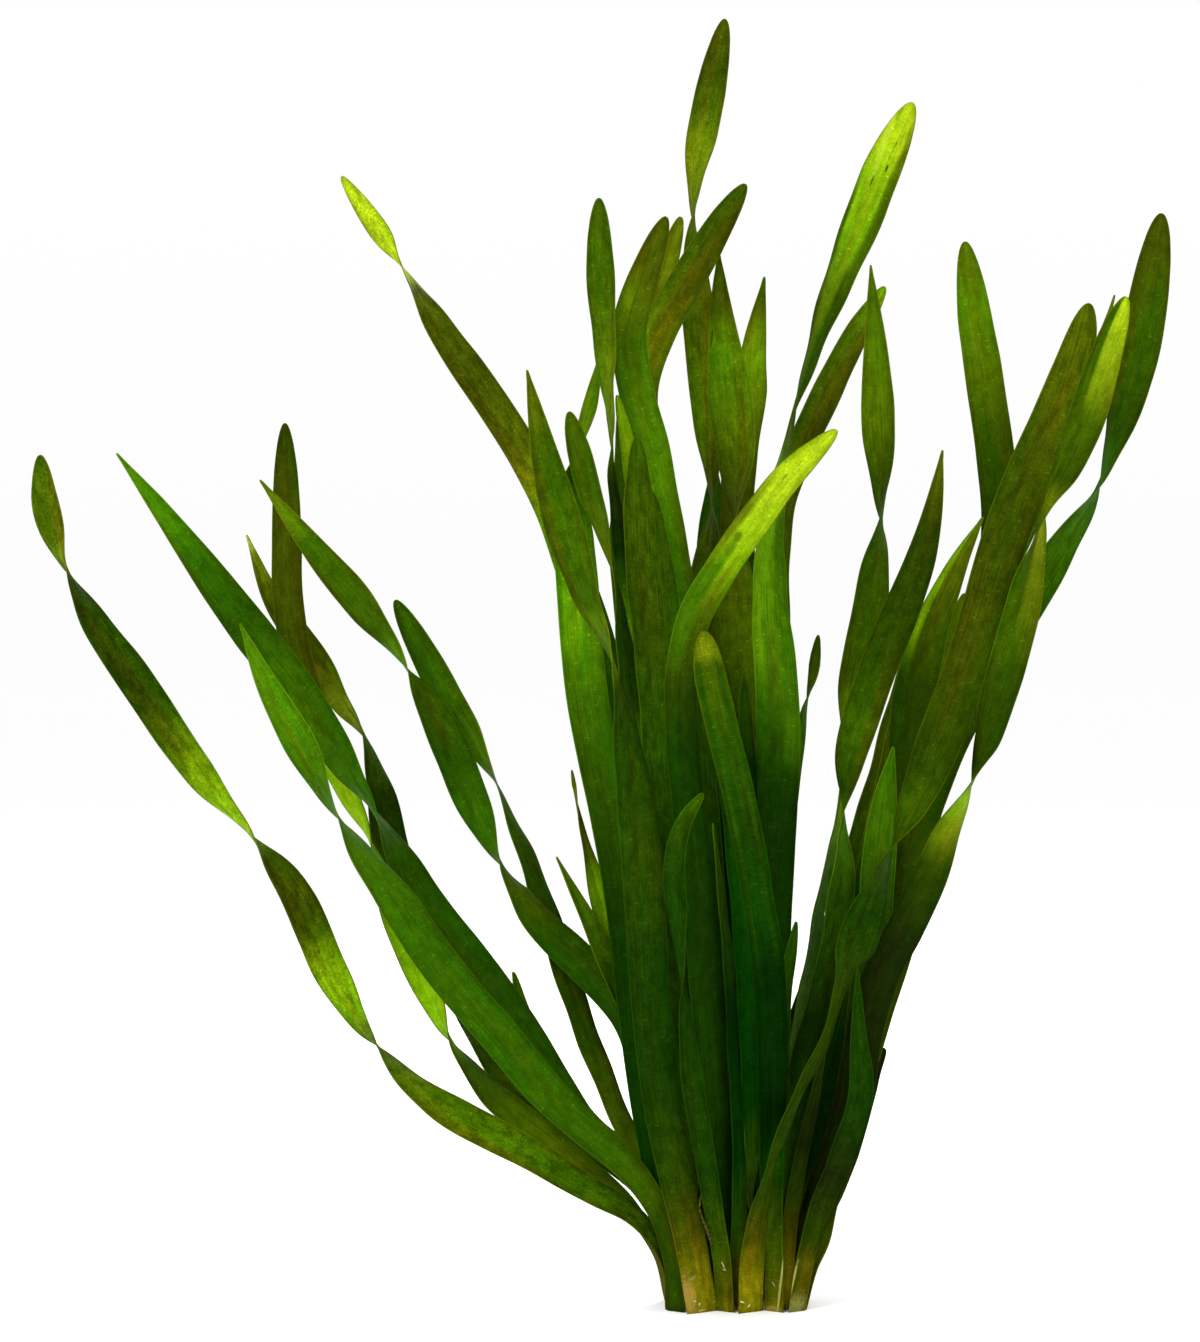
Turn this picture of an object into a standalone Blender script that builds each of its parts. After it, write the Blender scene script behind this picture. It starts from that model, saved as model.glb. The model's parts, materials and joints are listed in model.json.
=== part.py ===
"""A clump of vallisneria: six rosettes of ribbon leaves on one short pale crown, cut off flat at the ground.

Everything is in metres with +Z up. The origin is the middle of the flat cut that the clump stands on. The
leaves fan out along X and lean towards -Y or +Y, and many of them twist about their own length.
"""

import math
from dataclasses import dataclass

import bmesh
import bpy
import numpy as np

MM = 0.001

# The crown: a low slab, oblong with round corners, that the outermost leaf bases stand round
CROWN_HEIGHT = 2.6
CROWN_HALF_LENGTH = 18.2
CROWN_HALF_WIDTH = 10.2
CROWN_SQUARENESS = 4
CROWN_EDGE = 0.5
CROWN_OUTLINE_POINTS = 72
ROSETTE_SPACING_X = 14.6
ROSETTE_SPACING_Y = 15.0

# Rings of leaf bases in a rosette: how many, how far out, and how wide a base is
OUTER_RING = (5, 5.7, 5.6)
INNER_RING = (3, 3.1, 4.6)
HEART_LEAF_BASE = 3.6
BASE_GAP = 0.3

# The blade of a leaf
BLADE_THICKNESS = 0.6
FULL_WIDTH_AT = 95.0
TAPER_LENGTH = 48.0
TIP_WIDTH = 1.2
TURN_SETTLES_AT = 60.0
TWIST_POWER = 1.5
NARROW_RUN = (30.0, 15.0)
CURL_POWER = 6
STATION_SPACING = 16.0
STATION_TURN = 34.0
TIP_STATIONS = (2.0, 6.0, 13.0, 23.0)

# Paths are laid out in the upright plane through the crown, as seen from this point in front of it. Their
# heights are from the nearest edge of the cut, which from there looks lower than the cut's middle.
EYE_DISTANCE = 1118.0
EYE_X = -40.5
EYE_HEIGHT = 190.1
PATH_GROUND = 1.6

# How leaves that would pass through each other are eased apart
SAMPLE_SPACING = 3.5
CLEAR_AT_BASE = 1.3
CLEAR_ABOVE = 2.0
CLEAR_FULL_HEIGHT = 60.0
EASE_ROUNDS = 240
NEIGHBOURS_EVERY = 8
NEIGHBOUR_MARGIN = 6.0
ORDER_STRETCH = 60.0

OLIVE = (0.110, 0.125, 0.005)
BROWN_OLIVE = (0.085, 0.080, 0.006)
DEEP_GREEN = (0.030, 0.105, 0.004)
BRIGHT_GREEN = (0.115, 0.270, 0.004)
YELLOW_GREEN = (0.310, 0.400, 0.008)
CROWN_CREAM = (0.480, 0.420, 0.160)
ROUGHNESS = 0.42

ROSETTES = {
    "front_left": (-1, -1),
    "front_middle": (0, -1),
    "front_right": (1, -1),
    "back_left": (-1, 1),
    "back_middle": (0, 1),
    "back_right": (1, 1),
}


@dataclass
class Leaf:
    """One leaf. Its path is (x, z) in mm above its base; edge_on lists the heights where it stands edge-on.

    lean is the depth in mm that it gains over 100 mm of its length, curl the extra depth at its tip, and
    turn how far, in degrees, its flat side is turned away from the front. A leaf turns flat again over
    twist_run mm on each side of a place where it stands edge-on, and a slow twist turns evenly, up to the
    tip if need be. narrow gives two heights between which it stays nearly edge-on, and its angle there.
    """

    rosette: str
    slot: int
    path: list
    lean: float
    width: float
    tone: tuple
    edge_on: tuple = ()
    turn: float = 0.0
    curl: float = 0.0
    twist_run: float = 46.0
    slow_twist: bool = False
    narrow: tuple = ()
    taper: float = TAPER_LENGTH
    base_width: float = 0.0
    stand_off: float = 0.0
    pointed: bool = False

    @property
    def name(self):
        return f"leaf_{self.rosette}_{self.slot}"


FRONT_LEFT_LEAVES = [
    Leaf("front_left", 1,
         [(-23, 30), (-33, 44), (-45, 54.5), (-57, 66), (-68.5, 80), (-77, 90), (-86, 100),
          (-99.6, 120), (-118.6, 147), (-131, 171), (-140.5, 188), (-148.5, 206)],
         lean=-6, width=12, tone=BRIGHT_GREEN, edge_on=(147,), turn=15, pointed=True),
    Leaf("front_left", 2,
         [(-12.0, 14), (-16.2, 34), (-21.5, 60), (-25, 90), (-27, 120), (-29.5, 150), (-33, 176),
          (-36.5, 194), (-43.6, 212), (-50.3, 232), (-56.7, 255), (-62.4, 282)],
         lean=-18, width=11.8, tone=OLIVE, edge_on=(194,), twist_run=70, base_width=10, stand_off=1.9,
         pointed=True),
    Leaf("front_left", 3,
         [(-16, 50), (-21, 100), (-25, 140), (-29, 170), (-32, 195), (-34.5, 212), (-37, 225),
          (-42, 241), (-44.3, 249), (-47.7, 261), (-49.8, 269.5)],
         lean=-10, width=10, tone=DEEP_GREEN, edge_on=(222,), turn=28, slow_twist=True),
    Leaf("front_left", 4,
         [(-19, 35), (-25, 65), (-33, 90), (-47, 105), (-60, 118), (-70, 133.5), (-78.6, 152),
          (-86.8, 172), (-98, 192), (-110.7, 209.5), (-126, 228), (-142.5, 249)],
         lean=-1, width=11, tone=DEEP_GREEN, edge_on=(133.5, 192), pointed=True),
    Leaf("front_left", 5,
         [(-20.5, 14), (-24, 21.5), (-29.5, 28), (-37, 32.5), (-46, 37.5), (-60, 46), (-75, 54),
          (-90, 62.5), (-106.5, 78), (-120.5, 100), (-132, 125), (-143.5, 140.5), (-160, 160),
          (-180.5, 190), (-191, 205), (-200, 221), (-206.5, 240), (-208.5, 256.5)],
         lean=-8, width=10.5, tone=OLIVE, edge_on=(78, 140.5, 221), twist_run=54),
    Leaf("front_left", 6,
         [(-14.5, 50), (-18.5, 100), (-21.5, 150), (-25, 195), (-28.5, 230), (-29.5, 262)],
         lean=-9, width=12, tone=BROWN_OLIVE, turn=34),
    Leaf("front_left", 7,
         [(-18, 45), (-25, 80), (-34, 105), (-39.5, 120), (-43, 133), (-46, 145), (-49, 162)],
         lean=1, width=8, tone=YELLOW_GREEN, edge_on=(154,), turn=20, pointed=True),
    Leaf("front_left", 8,
         [(-21, 25), (-25, 50), (-29, 90), (-33, 125), (-37.5, 150), (-44, 182), (-47.6, 222),
          (-49, 245), (-45.9, 262), (-41.6, 280), (-40.2, 288)],
         lean=-8, width=12.5, tone=BRIGHT_GREEN, edge_on=(258,), curl=45, twist_run=30, taper=62,
         pointed=True),
    Leaf("front_left", 9,
         [(-19, 45), (-25, 75), (-32, 93), (-38, 104), (-43, 115), (-48, 125), (-53.5, 136)],
         lean=-3, width=9, tone=OLIVE, turn=30, pointed=True),
]

FRONT_MIDDLE_LEAVES = [
    Leaf("front_middle", 1,
         [(-8, 40), (-13, 70), (-16, 98), (-17.5, 120), (-18, 136), (-15, 147), (-9.5, 155)],
         lean=-28, width=7, tone=OLIVE, edge_on=(99,)),
    Leaf("front_middle", 2,
         [(4.5, 12), (6, 25), (10, 40), (17, 60), (26, 78), (33, 99), (39, 117), (47.5, 140),
          (55, 155), (62.5, 174), (71, 197), (78, 222), (86, 246), (95.5, 267), (102, 285),
          (106.3, 302)],
         lean=-20, width=13, tone=OLIVE, edge_on=(140,), narrow=(42, 98, 70), base_width=8,
         stand_off=1.4),
    Leaf("front_middle", 3,
         [(5, 30), (5, 60), (4, 90), (2, 120), (-1, 150), (-5, 182)],
         lean=-12, width=7.5, tone=BRIGHT_GREEN, turn=30),
    Leaf("front_middle", 4,
         [(-2, 50), (-6, 100), (-10, 150), (-14, 195), (-18.2, 222), (-22, 243), (-24.6, 257),
          (-27, 268), (-30.3, 279), (-31.8, 288), (-31.2, 297), (-29, 305), (-26.6, 312), (-24, 319),
          (-20.6, 328)],
         lean=-4, width=11, tone=BRIGHT_GREEN, turn=15),
    Leaf("front_middle", 5,
         [(-7.3, 13), (-7.8, 24), (-8, 50), (-10, 100), (-14, 145), (-18, 185), (-21, 210), (-23.5, 230),
          (-25.5, 246)],
         lean=-11, width=11, tone=OLIVE, turn=32),
    Leaf("front_middle", 6,
         [(1, 25), (1, 50), (-0.5, 75), (-2, 104), (-4, 122), (-6.5, 146)],
         lean=-21, width=5.5, tone=YELLOW_GREEN, turn=50, pointed=True),
    Leaf("front_middle", 7,
         [(3, 60), (4, 110), (4, 150), (2.5, 190)],
         lean=-7, width=8, tone=DEEP_GREEN, turn=45),
    Leaf("front_middle", 8,
         [(-4, 60), (-10.5, 120), (-18, 170), (-24, 210), (-29, 240), (-32, 258), (-35.3, 274.5)],
         lean=-3, width=7, tone=YELLOW_GREEN, turn=30),
    Leaf("front_middle", 9,
         [(-3, 25), (-5, 50), (-7.8, 85), (-10.6, 120), (-14, 152), (-16, 180), (-14, 203),
          (-6, 219), (4, 234), (16, 250), (30.5, 264)],
         lean=-23, width=10, tone=YELLOW_GREEN, turn=15),
]

FRONT_RIGHT_LEAVES = [
    Leaf("front_right", 1,
         [(11, 25), (11, 55), (11, 85), (9.5, 108), (7, 122), (3.5, 143), (-1, 163), (-5, 179),
          (-8, 193), (-9.5, 203.5)],
         lean=-22, width=9.5, tone=BRIGHT_GREEN, turn=10, curl=-7, taper=18),
    Leaf("front_right", 2,
         [(21, 18), (27, 35), (33, 48), (37.5, 62), (37.2, 78), (36.8, 92), (36.8, 103)],
         lean=-24, width=9, tone=OLIVE, turn=15, pointed=True),
    Leaf("front_right", 3,
         [(23, 15), (27, 30), (31.5, 45), (35.3, 58), (38, 72), (39.4, 86), (42.8, 98), (48.2, 109),
          (54, 120), (59.2, 132), (65, 146), (71.8, 160.5), (79, 184),
          (85, 206), (90, 228), (92.5, 239), (97, 248), (104.5, 265), (110, 282), (113.5, 293),
          (117.4, 304)],
         lean=-25, width=10.8, tone=YELLOW_GREEN, edge_on=(160.5, 239)),
    Leaf("front_right", 4,
         [(22, 30), (30, 60), (37, 85), (44, 108), (49.5, 128), (54.6, 146), (63.6, 170), (72.2, 187),
          (80, 201), (87.8, 213), (95.6, 225.5), (103.4, 237), (110.3, 250), (115, 265), (120.5, 285),
          (124.3, 305), (128, 329)],
         lean=-15, width=12.2, tone=DEEP_GREEN, edge_on=(250,), twist_run=58),
    Leaf("front_right", 5,
         [(9, 40), (9.8, 80), (10.3, 115), (12.2, 152), (13, 175), (11.8, 195), (10.3, 212), (10.5, 232),
          (14.3, 256), (18.2, 271), (22.6, 286), (28.8, 304), (35.7, 321), (44, 342), (53.3, 362.2)],
         lean=-6, width=13, tone=BRIGHT_GREEN, edge_on=(270,), twist_run=92, slow_twist=True),
    Leaf("front_right", 6,
         [(16, 25), (19, 42), (23, 60), (26, 74), (28.5, 84)],
         lean=-10, width=4.5, tone=YELLOW_GREEN, turn=20, pointed=True),
    Leaf("front_right", 7,
         [(22, 30), (30, 50), (36, 72), (39.5, 95), (42, 118), (43.5, 138), (45, 153), (47.5, 169)],
         lean=-15, width=10.5, tone=YELLOW_GREEN, turn=10, taper=28, pointed=True),
    Leaf("front_right", 8,
         [(14, 40), (18.5, 65), (23.5, 85), (28, 100), (31, 116), (32.2, 132), (32.4, 146), (32.8, 157),
          (35, 168), (39.2, 182), (46.6, 202), (54, 220), (59, 238), (62.3, 258)],
         lean=-12, width=11, tone=OLIVE, edge_on=(151,), turn=33, twist_run=36, pointed=True),
    Leaf("front_right", 9,
         [(14.5, 40), (14, 70), (14.5, 92), (16.5, 105), (18.4, 116.5)],
         lean=-17, width=6, tone=DEEP_GREEN, turn=30),
]

BACK_LEFT_LEAVES = [
    Leaf("back_left", 1,
         [(-24, 33), (-35, 44), (-50, 55), (-64, 66), (-75.5, 80), (-88.4, 98), (-97, 121),
          (-103, 138), (-106, 155), (-110.5, 171), (-119, 184), (-131, 202), (-138, 212),
          (-146.5, 232.5)],
         lean=16, width=11, tone=BROWN_OLIVE, edge_on=(92, 171), pointed=True),
    Leaf("back_left", 2,
         [(-16, 60), (-22, 120), (-27, 180), (-31, 235), (-33, 275)],
         lean=24, width=11.5, tone=DEEP_GREEN, turn=30),
    Leaf("back_left", 3,
         [(-14, 60), (-19, 110), (-24, 160), (-29, 200), (-33.5, 230), (-36.8, 250), (-36.9, 264),
          (-38.2, 280), (-39.6, 300), (-40.6, 318), (-40.8, 333.6)],
         lean=-8, width=10, tone=OLIVE, edge_on=(259,), twist_run=70, slow_twist=True),
    Leaf("back_left", 4,
         [(-20, 30), (-27.5, 44), (-32.6, 54), (-39.3, 70), (-46.3, 88), (-54, 112), (-59.4, 128),
          (-67.2, 148), (-76.4, 167.6), (-85.5, 182.6), (-95, 200), (-102, 213)],
         lean=1, width=10, tone=DEEP_GREEN, edge_on=(157,), turn=47),
    Leaf("back_left", 5,
         [(-24, 18), (-31, 30), (-45, 42), (-58, 53), (-72, 64), (-84.7, 80), (-93.7, 99.5),
          (-101.5, 118), (-108.5, 138.5), (-120.5, 165), (-130, 190), (-134, 212), (-134.5, 235),
          (-135, 266)],
         lean=13, width=9.5, tone=YELLOW_GREEN, edge_on=(80, 138.5)),
    Leaf("back_left", 6,
         [(-18, 50), (-24, 100), (-30, 140), (-35, 175), (-42.5, 205), (-48.6, 222), (-54.8, 240),
          (-63.4, 257), (-73.9, 273.5), (-86.5, 291.5), (-100, 313.5), (-108.8, 326.6), (-118, 340)],
         lean=18, width=10.8, tone=OLIVE, edge_on=(313.5,), taper=90),
    Leaf("back_left", 7,
         [(-14, 60), (-18, 120), (-22, 180), (-25, 230), (-27, 262), (-27.5, 282), (-25, 299),
          (-20.4, 314), (-16.2, 328)],
         lean=7, width=9.5, tone=YELLOW_GREEN, turn=20),
    Leaf("back_left", 8,
         [(-22, 28), (-32, 42), (-44, 53), (-55, 68.5), (-65, 84.5), (-76.6, 101), (-91.8, 120.2),
          (-107.3, 148), (-121.5, 170), (-135, 190.7), (-146.4, 205.2), (-161.1, 225), (-172.4, 240.2),
          (-185.5, 257)],
         lean=4, width=12.5, tone=DEEP_GREEN, edge_on=(148,), taper=64, pointed=True),
    Leaf("back_left", 9,
         [(-22, 40), (-40, 53.5), (-53.5, 69.5), (-61.3, 84), (-64.3, 93), (-66.5, 101.5)],
         lean=11, width=6, tone=DEEP_GREEN, turn=35),
]

BACK_MIDDLE_LEAVES = [
    Leaf("back_middle", 1,
         [(-6, 60), (-10, 120), (-11, 180), (-8, 222), (-6, 252)],
         lean=20, width=11, tone=DEEP_GREEN, turn=30),
    Leaf("back_middle", 2,
         [(5, 60), (8, 120), (10, 170), (9, 215)],
         lean=24, width=11, tone=BRIGHT_GREEN, turn=-30),
    Leaf("back_middle", 3,
         [(7, 60), (8, 120), (5, 180), (1, 225), (0.8, 250), (4, 270), (5.9, 290), (8.9, 310)],
         lean=13, width=11, tone=YELLOW_GREEN, turn=16, taper=36, pointed=True),
    Leaf("back_middle", 4,
         [(4, 60), (7, 110), (8, 140), (6.5, 168), (3.5, 188), (0.5, 208), (0, 236), (0.5, 255),
          (-1.6, 275), (-4.2, 300), (-4.9, 317.5)],
         lean=5, width=14, tone=OLIVE, edge_on=(168, 237), pointed=True),
    Leaf("back_middle", 5,
         [(-8, 60), (-13, 120), (-17, 180), (-20.5, 230), (-26, 255), (-28.8, 271), (-26.6, 285),
          (-21.3, 296.8), (-12.8, 311.5), (-4.6, 325.6), (3.2, 337.8)],
         lean=2, width=11, tone=OLIVE, curl=-5),
    Leaf("back_middle", 6,
         [(-2, 60), (-6, 120), (-10, 180), (-10, 215), (-7, 238), (-7.5, 262), (-9.5, 285),
          (-11.5, 308), (-12.3, 330), (-11, 345), (-8, 362), (-3, 387.3)],
         lean=11, width=10.8, tone=BROWN_OLIVE, edge_on=(243, 329)),
    Leaf("back_middle", 7,
         [(10, 50), (20, 85), (31.5, 118), (38.3, 141), (42.3, 153), (49, 178), (58, 210)],
         lean=20, width=11, tone=OLIVE, turn=30),
    Leaf("back_middle", 8,
         [(-8, 50), (-15, 100), (-22, 150), (-30, 200), (-36, 240)],
         lean=12, width=11, tone=DEEP_GREEN, turn=-25),
    Leaf("back_middle", 9,
         [(0, 60), (0, 120), (-1.5, 165), (-2.5, 190), (-2.5, 214)],
         lean=8, width=8, tone=BRIGHT_GREEN, turn=20),
]

BACK_RIGHT_LEAVES = [
    Leaf("back_right", 1,
         [(20, 40), (30, 75), (42, 110), (51, 145), (61, 180), (69, 215)],
         lean=22, width=11, tone=DEEP_GREEN, turn=30),
    Leaf("back_right", 2,
         [(23, 40), (33, 80), (44, 115), (55, 148), (66, 180), (75, 205), (79.5, 228),
          (79.2, 246), (77, 265), (74.5, 282), (72, 298), (69, 320.5)],
         lean=8, width=12, tone=BRIGHT_GREEN, turn=5),
    Leaf("back_right", 3,
         [(23, 20), (29, 35), (34.3, 52), (38.8, 66), (42, 74), (45, 78.5)],
         lean=6, width=9, tone=BROWN_OLIVE),
    Leaf("back_right", 4,
         [(22, 30), (30, 52), (36.6, 72), (41.7, 92), (47.8, 110), (51.5, 128), (52.5, 146),
          (52, 160), (53.4, 178), (56.6, 198), (61.8, 212), (67.4, 224.8), (74.5, 238)],
         lean=-4, width=13, tone=YELLOW_GREEN, turn=8, pointed=True),
    Leaf("back_right", 5,
         [(10, 40), (11.5, 80), (12, 120), (12.5, 160), (12.5, 190), (12, 215), (12.8, 236),
          (16, 250), (21.5, 262), (28.5, 277), (36, 292), (45, 307)],
         lean=9, width=10, tone=OLIVE, turn=20),
    Leaf("back_right", 6,
         [(22, 40), (33, 80), (44, 120), (54, 155), (65, 185), (76, 212), (88, 236), (98, 257),
          (105, 275), (110, 291), (114, 304.5)],
         lean=3, width=9, tone=BROWN_OLIVE, turn=35, pointed=True),
    Leaf("back_right", 7,
         [(18, 40), (27, 70), (34, 100), (40, 130), (45, 155), (48.2, 176), (50.2, 194)],
         lean=-2, width=9, tone=OLIVE, turn=25, pointed=True),
    Leaf("back_right", 8,
         [(13, 30), (15.5, 55), (18.2, 85), (21.5, 100), (24.8, 118), (28, 134), (30.8, 147), (31.9, 157),
          (33, 168), (36, 188), (40.2, 208), (42.4, 223), (44, 239), (43.5, 258),
          (42.7, 275), (42, 292), (40.7, 313.5)],
         lean=3, width=11, tone=BRIGHT_GREEN, edge_on=(168, 239), turn=68, pointed=True),
    Leaf("back_right", 9,
         [(12, 50), (13, 100), (15, 145), (18.6, 168), (21, 180), (22.9, 188), (25, 202.5)],
         lean=12, width=6, tone=BRIGHT_GREEN, edge_on=(187,)),
]

LEAVES = (FRONT_LEFT_LEAVES + FRONT_MIDDLE_LEAVES + FRONT_RIGHT_LEAVES
          + BACK_LEFT_LEAVES + BACK_MIDDLE_LEAVES + BACK_RIGHT_LEAVES)


def rosette_centre(rosette):
    column, row = ROSETTES[rosette]
    return np.array([column * ROSETTE_SPACING_X, row * ROSETTE_SPACING_Y / 2])


def is_outermost(leaf):
    column = ROSETTES[leaf.rosette][0]
    return leaf.slot in (1, 2) or (leaf.slot, column) in ((5, -1), (3, 1))


def base_of(leaf):
    """Where a leaf starts: its (x, y), the direction of its width in degrees, and its width."""
    row = ROSETTES[leaf.rosette][1]
    outer_count, outer_radius, outer_width = OUTER_RING
    inner_count, inner_radius, inner_width = INNER_RING
    if leaf.slot <= outer_count:
        angle = (-126, -54, 18, 90, 162)[leaf.slot - 1]
        radius, width = outer_radius + leaf.stand_off, outer_width
    elif leaf.slot <= outer_count + inner_count:
        angle = (-90, 30, 150)[leaf.slot - 1 - outer_count]
        radius, width = inner_radius, inner_width
    else:
        angle = -90
        radius, width = 0.0, HEART_LEAF_BASE
    # The rosettes of the back row are the front row's turned over front to back.
    angle = math.radians(angle * -row)
    outward = np.array([math.cos(angle), math.sin(angle)])
    across = math.degrees(angle) + 90
    return rosette_centre(leaf.rosette) + radius * outward, across, leaf.base_width or width


def ease(t):
    t = np.clip(t, 0, 1)
    return t * t * (3 - 2 * t)


def curve_through(points, spacing):
    """Points at about this spacing on a smooth curve that leaves the first point straight up."""
    points = np.asarray(points, float)
    chords = np.linalg.norm(np.diff(points, axis=0), axis=1)
    knots = np.concatenate([[0], np.cumsum(chords)])
    slopes = np.gradient(points, knots, axis=0)
    slopes[0] = (0, 1)
    found = []
    for i, chord in enumerate(chords):
        t = np.linspace(0, 1, max(2, math.ceil(chord / spacing)), endpoint=False)[:, None]
        found.append((2 * t**3 - 3 * t**2 + 1) * points[i] + (t**3 - 2 * t**2 + t) * chord * slopes[i]
                     + (3 * t**2 - 2 * t**3) * points[i + 1] + (t**3 - t**2) * chord * slopes[i + 1])
    return np.vstack(found + [points[-1:]])


def along(points):
    return np.concatenate([[0], np.cumsum(np.linalg.norm(np.diff(points, axis=0), axis=1))])


def turn_at(leaf, flat, travel, across):
    """The angle of the width about the leaf's length at each sample, 0 where the flat side faces front."""
    across -= 180 * round((across - leaf.turn) / 180)
    edges = [float(np.interp(height - PATH_GROUND, flat[:, 1], travel)) for height in leaf.edge_on]
    power = 1.0 if leaf.slow_twist else TWIST_POWER
    last = travel[-1]
    settled = min([TURN_SETTLES_AT] + [0.55 * edge for edge in edges[:1]])
    angle = across + (leaf.turn - across) * ease(travel / settled)
    facing = leaf.turn
    for i, edge in enumerate(edges):
        before = settled if i == 0 else (edges[i - 1] + edge) / 2
        if i + 1 < len(edges):
            after = (edge + edges[i + 1]) / 2
        else:
            after = last if leaf.slow_twist else (edge + 3 * last) / 4
        edge_on = 90 + 180 * i
        run = min(edge - before, leaf.twist_run)
        t = np.clip((travel - edge + run) / run, 0, 1)
        angle += (edge_on - facing) * t**power
        facing = 180 * (i + 1)
        t = np.clip((travel - edge) / min(after - edge, leaf.twist_run), 0, 1)
        angle += (facing - edge_on) * (1 - (1 - t)**power)
    if leaf.narrow:
        low, high, held = leaf.narrow
        low, high = (float(np.interp(height - PATH_GROUND, flat[:, 1], travel)) for height in (low, high))
        outside = np.maximum((low - travel) / NARROW_RUN[0], (travel - high) / NARROW_RUN[1])
        angle += (held - angle) * (1 - ease(outside))
    return np.radians(angle)


def width_at(leaf, travel, base_width):
    growing = base_width + (leaf.width - base_width) * ease(travel / min(FULL_WIDTH_AT, 0.6 * travel[-1]))
    taper = min(leaf.taper, 0.45 * travel[-1])
    t = np.clip((travel - travel[-1] + taper) / taper, 0, 1)
    narrowing = (1 - t**1.25) ** 0.85 if leaf.pointed else (1 - t**2.5) ** 0.5
    return np.maximum(growing * narrowing, TIP_WIDTH)


class Ribbon:
    """A leaf's middle line at even spacing, with its width and turn, before and after it is eased aside."""

    def __init__(self, leaf):
        self.leaf = leaf
        (x, y), across, base_width = base_of(leaf)
        foot = BASE_GAP if is_outermost(leaf) else CROWN_HEIGHT + BASE_GAP
        path = [(path_x, path_z - PATH_GROUND) for path_x, path_z in leaf.path]
        self.flat = curve_through([(x, foot)] + path, SAMPLE_SPACING)
        self.travel = along(self.flat)
        curl = leaf.curl * (self.travel / self.travel[-1]) ** CURL_POWER
        self.depth = y + leaf.lean * self.travel / 100 + curl
        # The base stands on the crown, so the leaf takes up its lean only above it.
        self.depth = y + (self.depth - y) * ease(self.travel / 40)
        self.width = width_at(leaf, self.travel, base_width)
        self.turn = turn_at(leaf, self.flat, self.travel, across)
        self.aside = np.zeros(len(self.travel))
        self.stations = stations_of(self)

    def straight_between_stations(self, values):
        """The values as the built leaf has them, which is straight from each station to the next."""
        at_stations = [np.interp(self.stations, self.travel, column) for column in values.T]
        return np.column_stack([np.interp(self.travel, self.stations, column) for column in at_stations])

    def place(self):
        """Carries each sample along the line of sight to its depth, and finds the direction of its width."""
        reach = 1 + self.depth / EYE_DISTANCE
        # A base is placed by its rosette and not by sight, so sight takes hold above the crown.
        hold = ease(self.travel / 40)
        x, z = self.flat[:, 0] + self.aside, self.flat[:, 1]
        points = np.column_stack([
            x + (x - EYE_X) * (reach - 1) * hold,
            self.depth,
            z + (z - EYE_HEIGHT) * (reach - 1) * hold,
        ])
        forward = np.gradient(points, axis=0)
        forward[0] = (0, 0, 1)
        forward /= np.linalg.norm(forward, axis=1)[:, None]
        back = np.array([0.0, 1, 0]) - forward[:, 1:2] * forward
        back /= np.linalg.norm(back, axis=1)[:, None]
        level = np.cross(back, forward)
        across = np.cos(self.turn)[:, None] * level + np.sin(self.turn)[:, None] * back
        self.points = self.straight_between_stations(points)
        self.half = self.straight_between_stations(across * self.width[:, None] / 2)


def closest_between(a0, a1, b0, b1):
    """The nearest points of each pair of straight segments."""
    u, v, w = a1 - a0, b1 - b0, a0 - b0
    uu, vv = (u * u).sum(1), (v * v).sum(1)
    uv, uw, vw = (u * v).sum(1), (u * w).sum(1), (v * w).sum(1)
    s = np.clip((uv * vw - vv * uw) / np.maximum(uu * vv - uv * uv, 1e-9), 0, 1)
    t = np.clip((uv * s + vw) / np.maximum(vv, 1e-9), 0, 1)
    s = np.clip((uv * t - uw) / np.maximum(uu, 1e-9), 0, 1)
    return a0 + s[:, None] * u, b0 + t[:, None] * v


def near_pairs(points, owner, reach):
    """Pairs of samples on different leaves whose blades could come near each other."""
    found = []
    for i in range(len(points)):
        gap = np.linalg.norm(points[i + 1:] - points[i], axis=1) - reach[i + 1:] - reach[i]
        close = np.flatnonzero((gap < NEIGHBOUR_MARGIN) & (owner[i + 1:] != owner[i])) + i + 1
        found.append(np.column_stack([np.full(len(close), i), close]))
    return np.vstack(found)


def smoothed(values, rounds=3):
    for _ in range(rounds):
        padded = np.concatenate([values[:1], values, values[-1:]])
        values = (padded[:-2] + 2 * padded[1:-1] + padded[2:]) / 4
    return values


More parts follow.
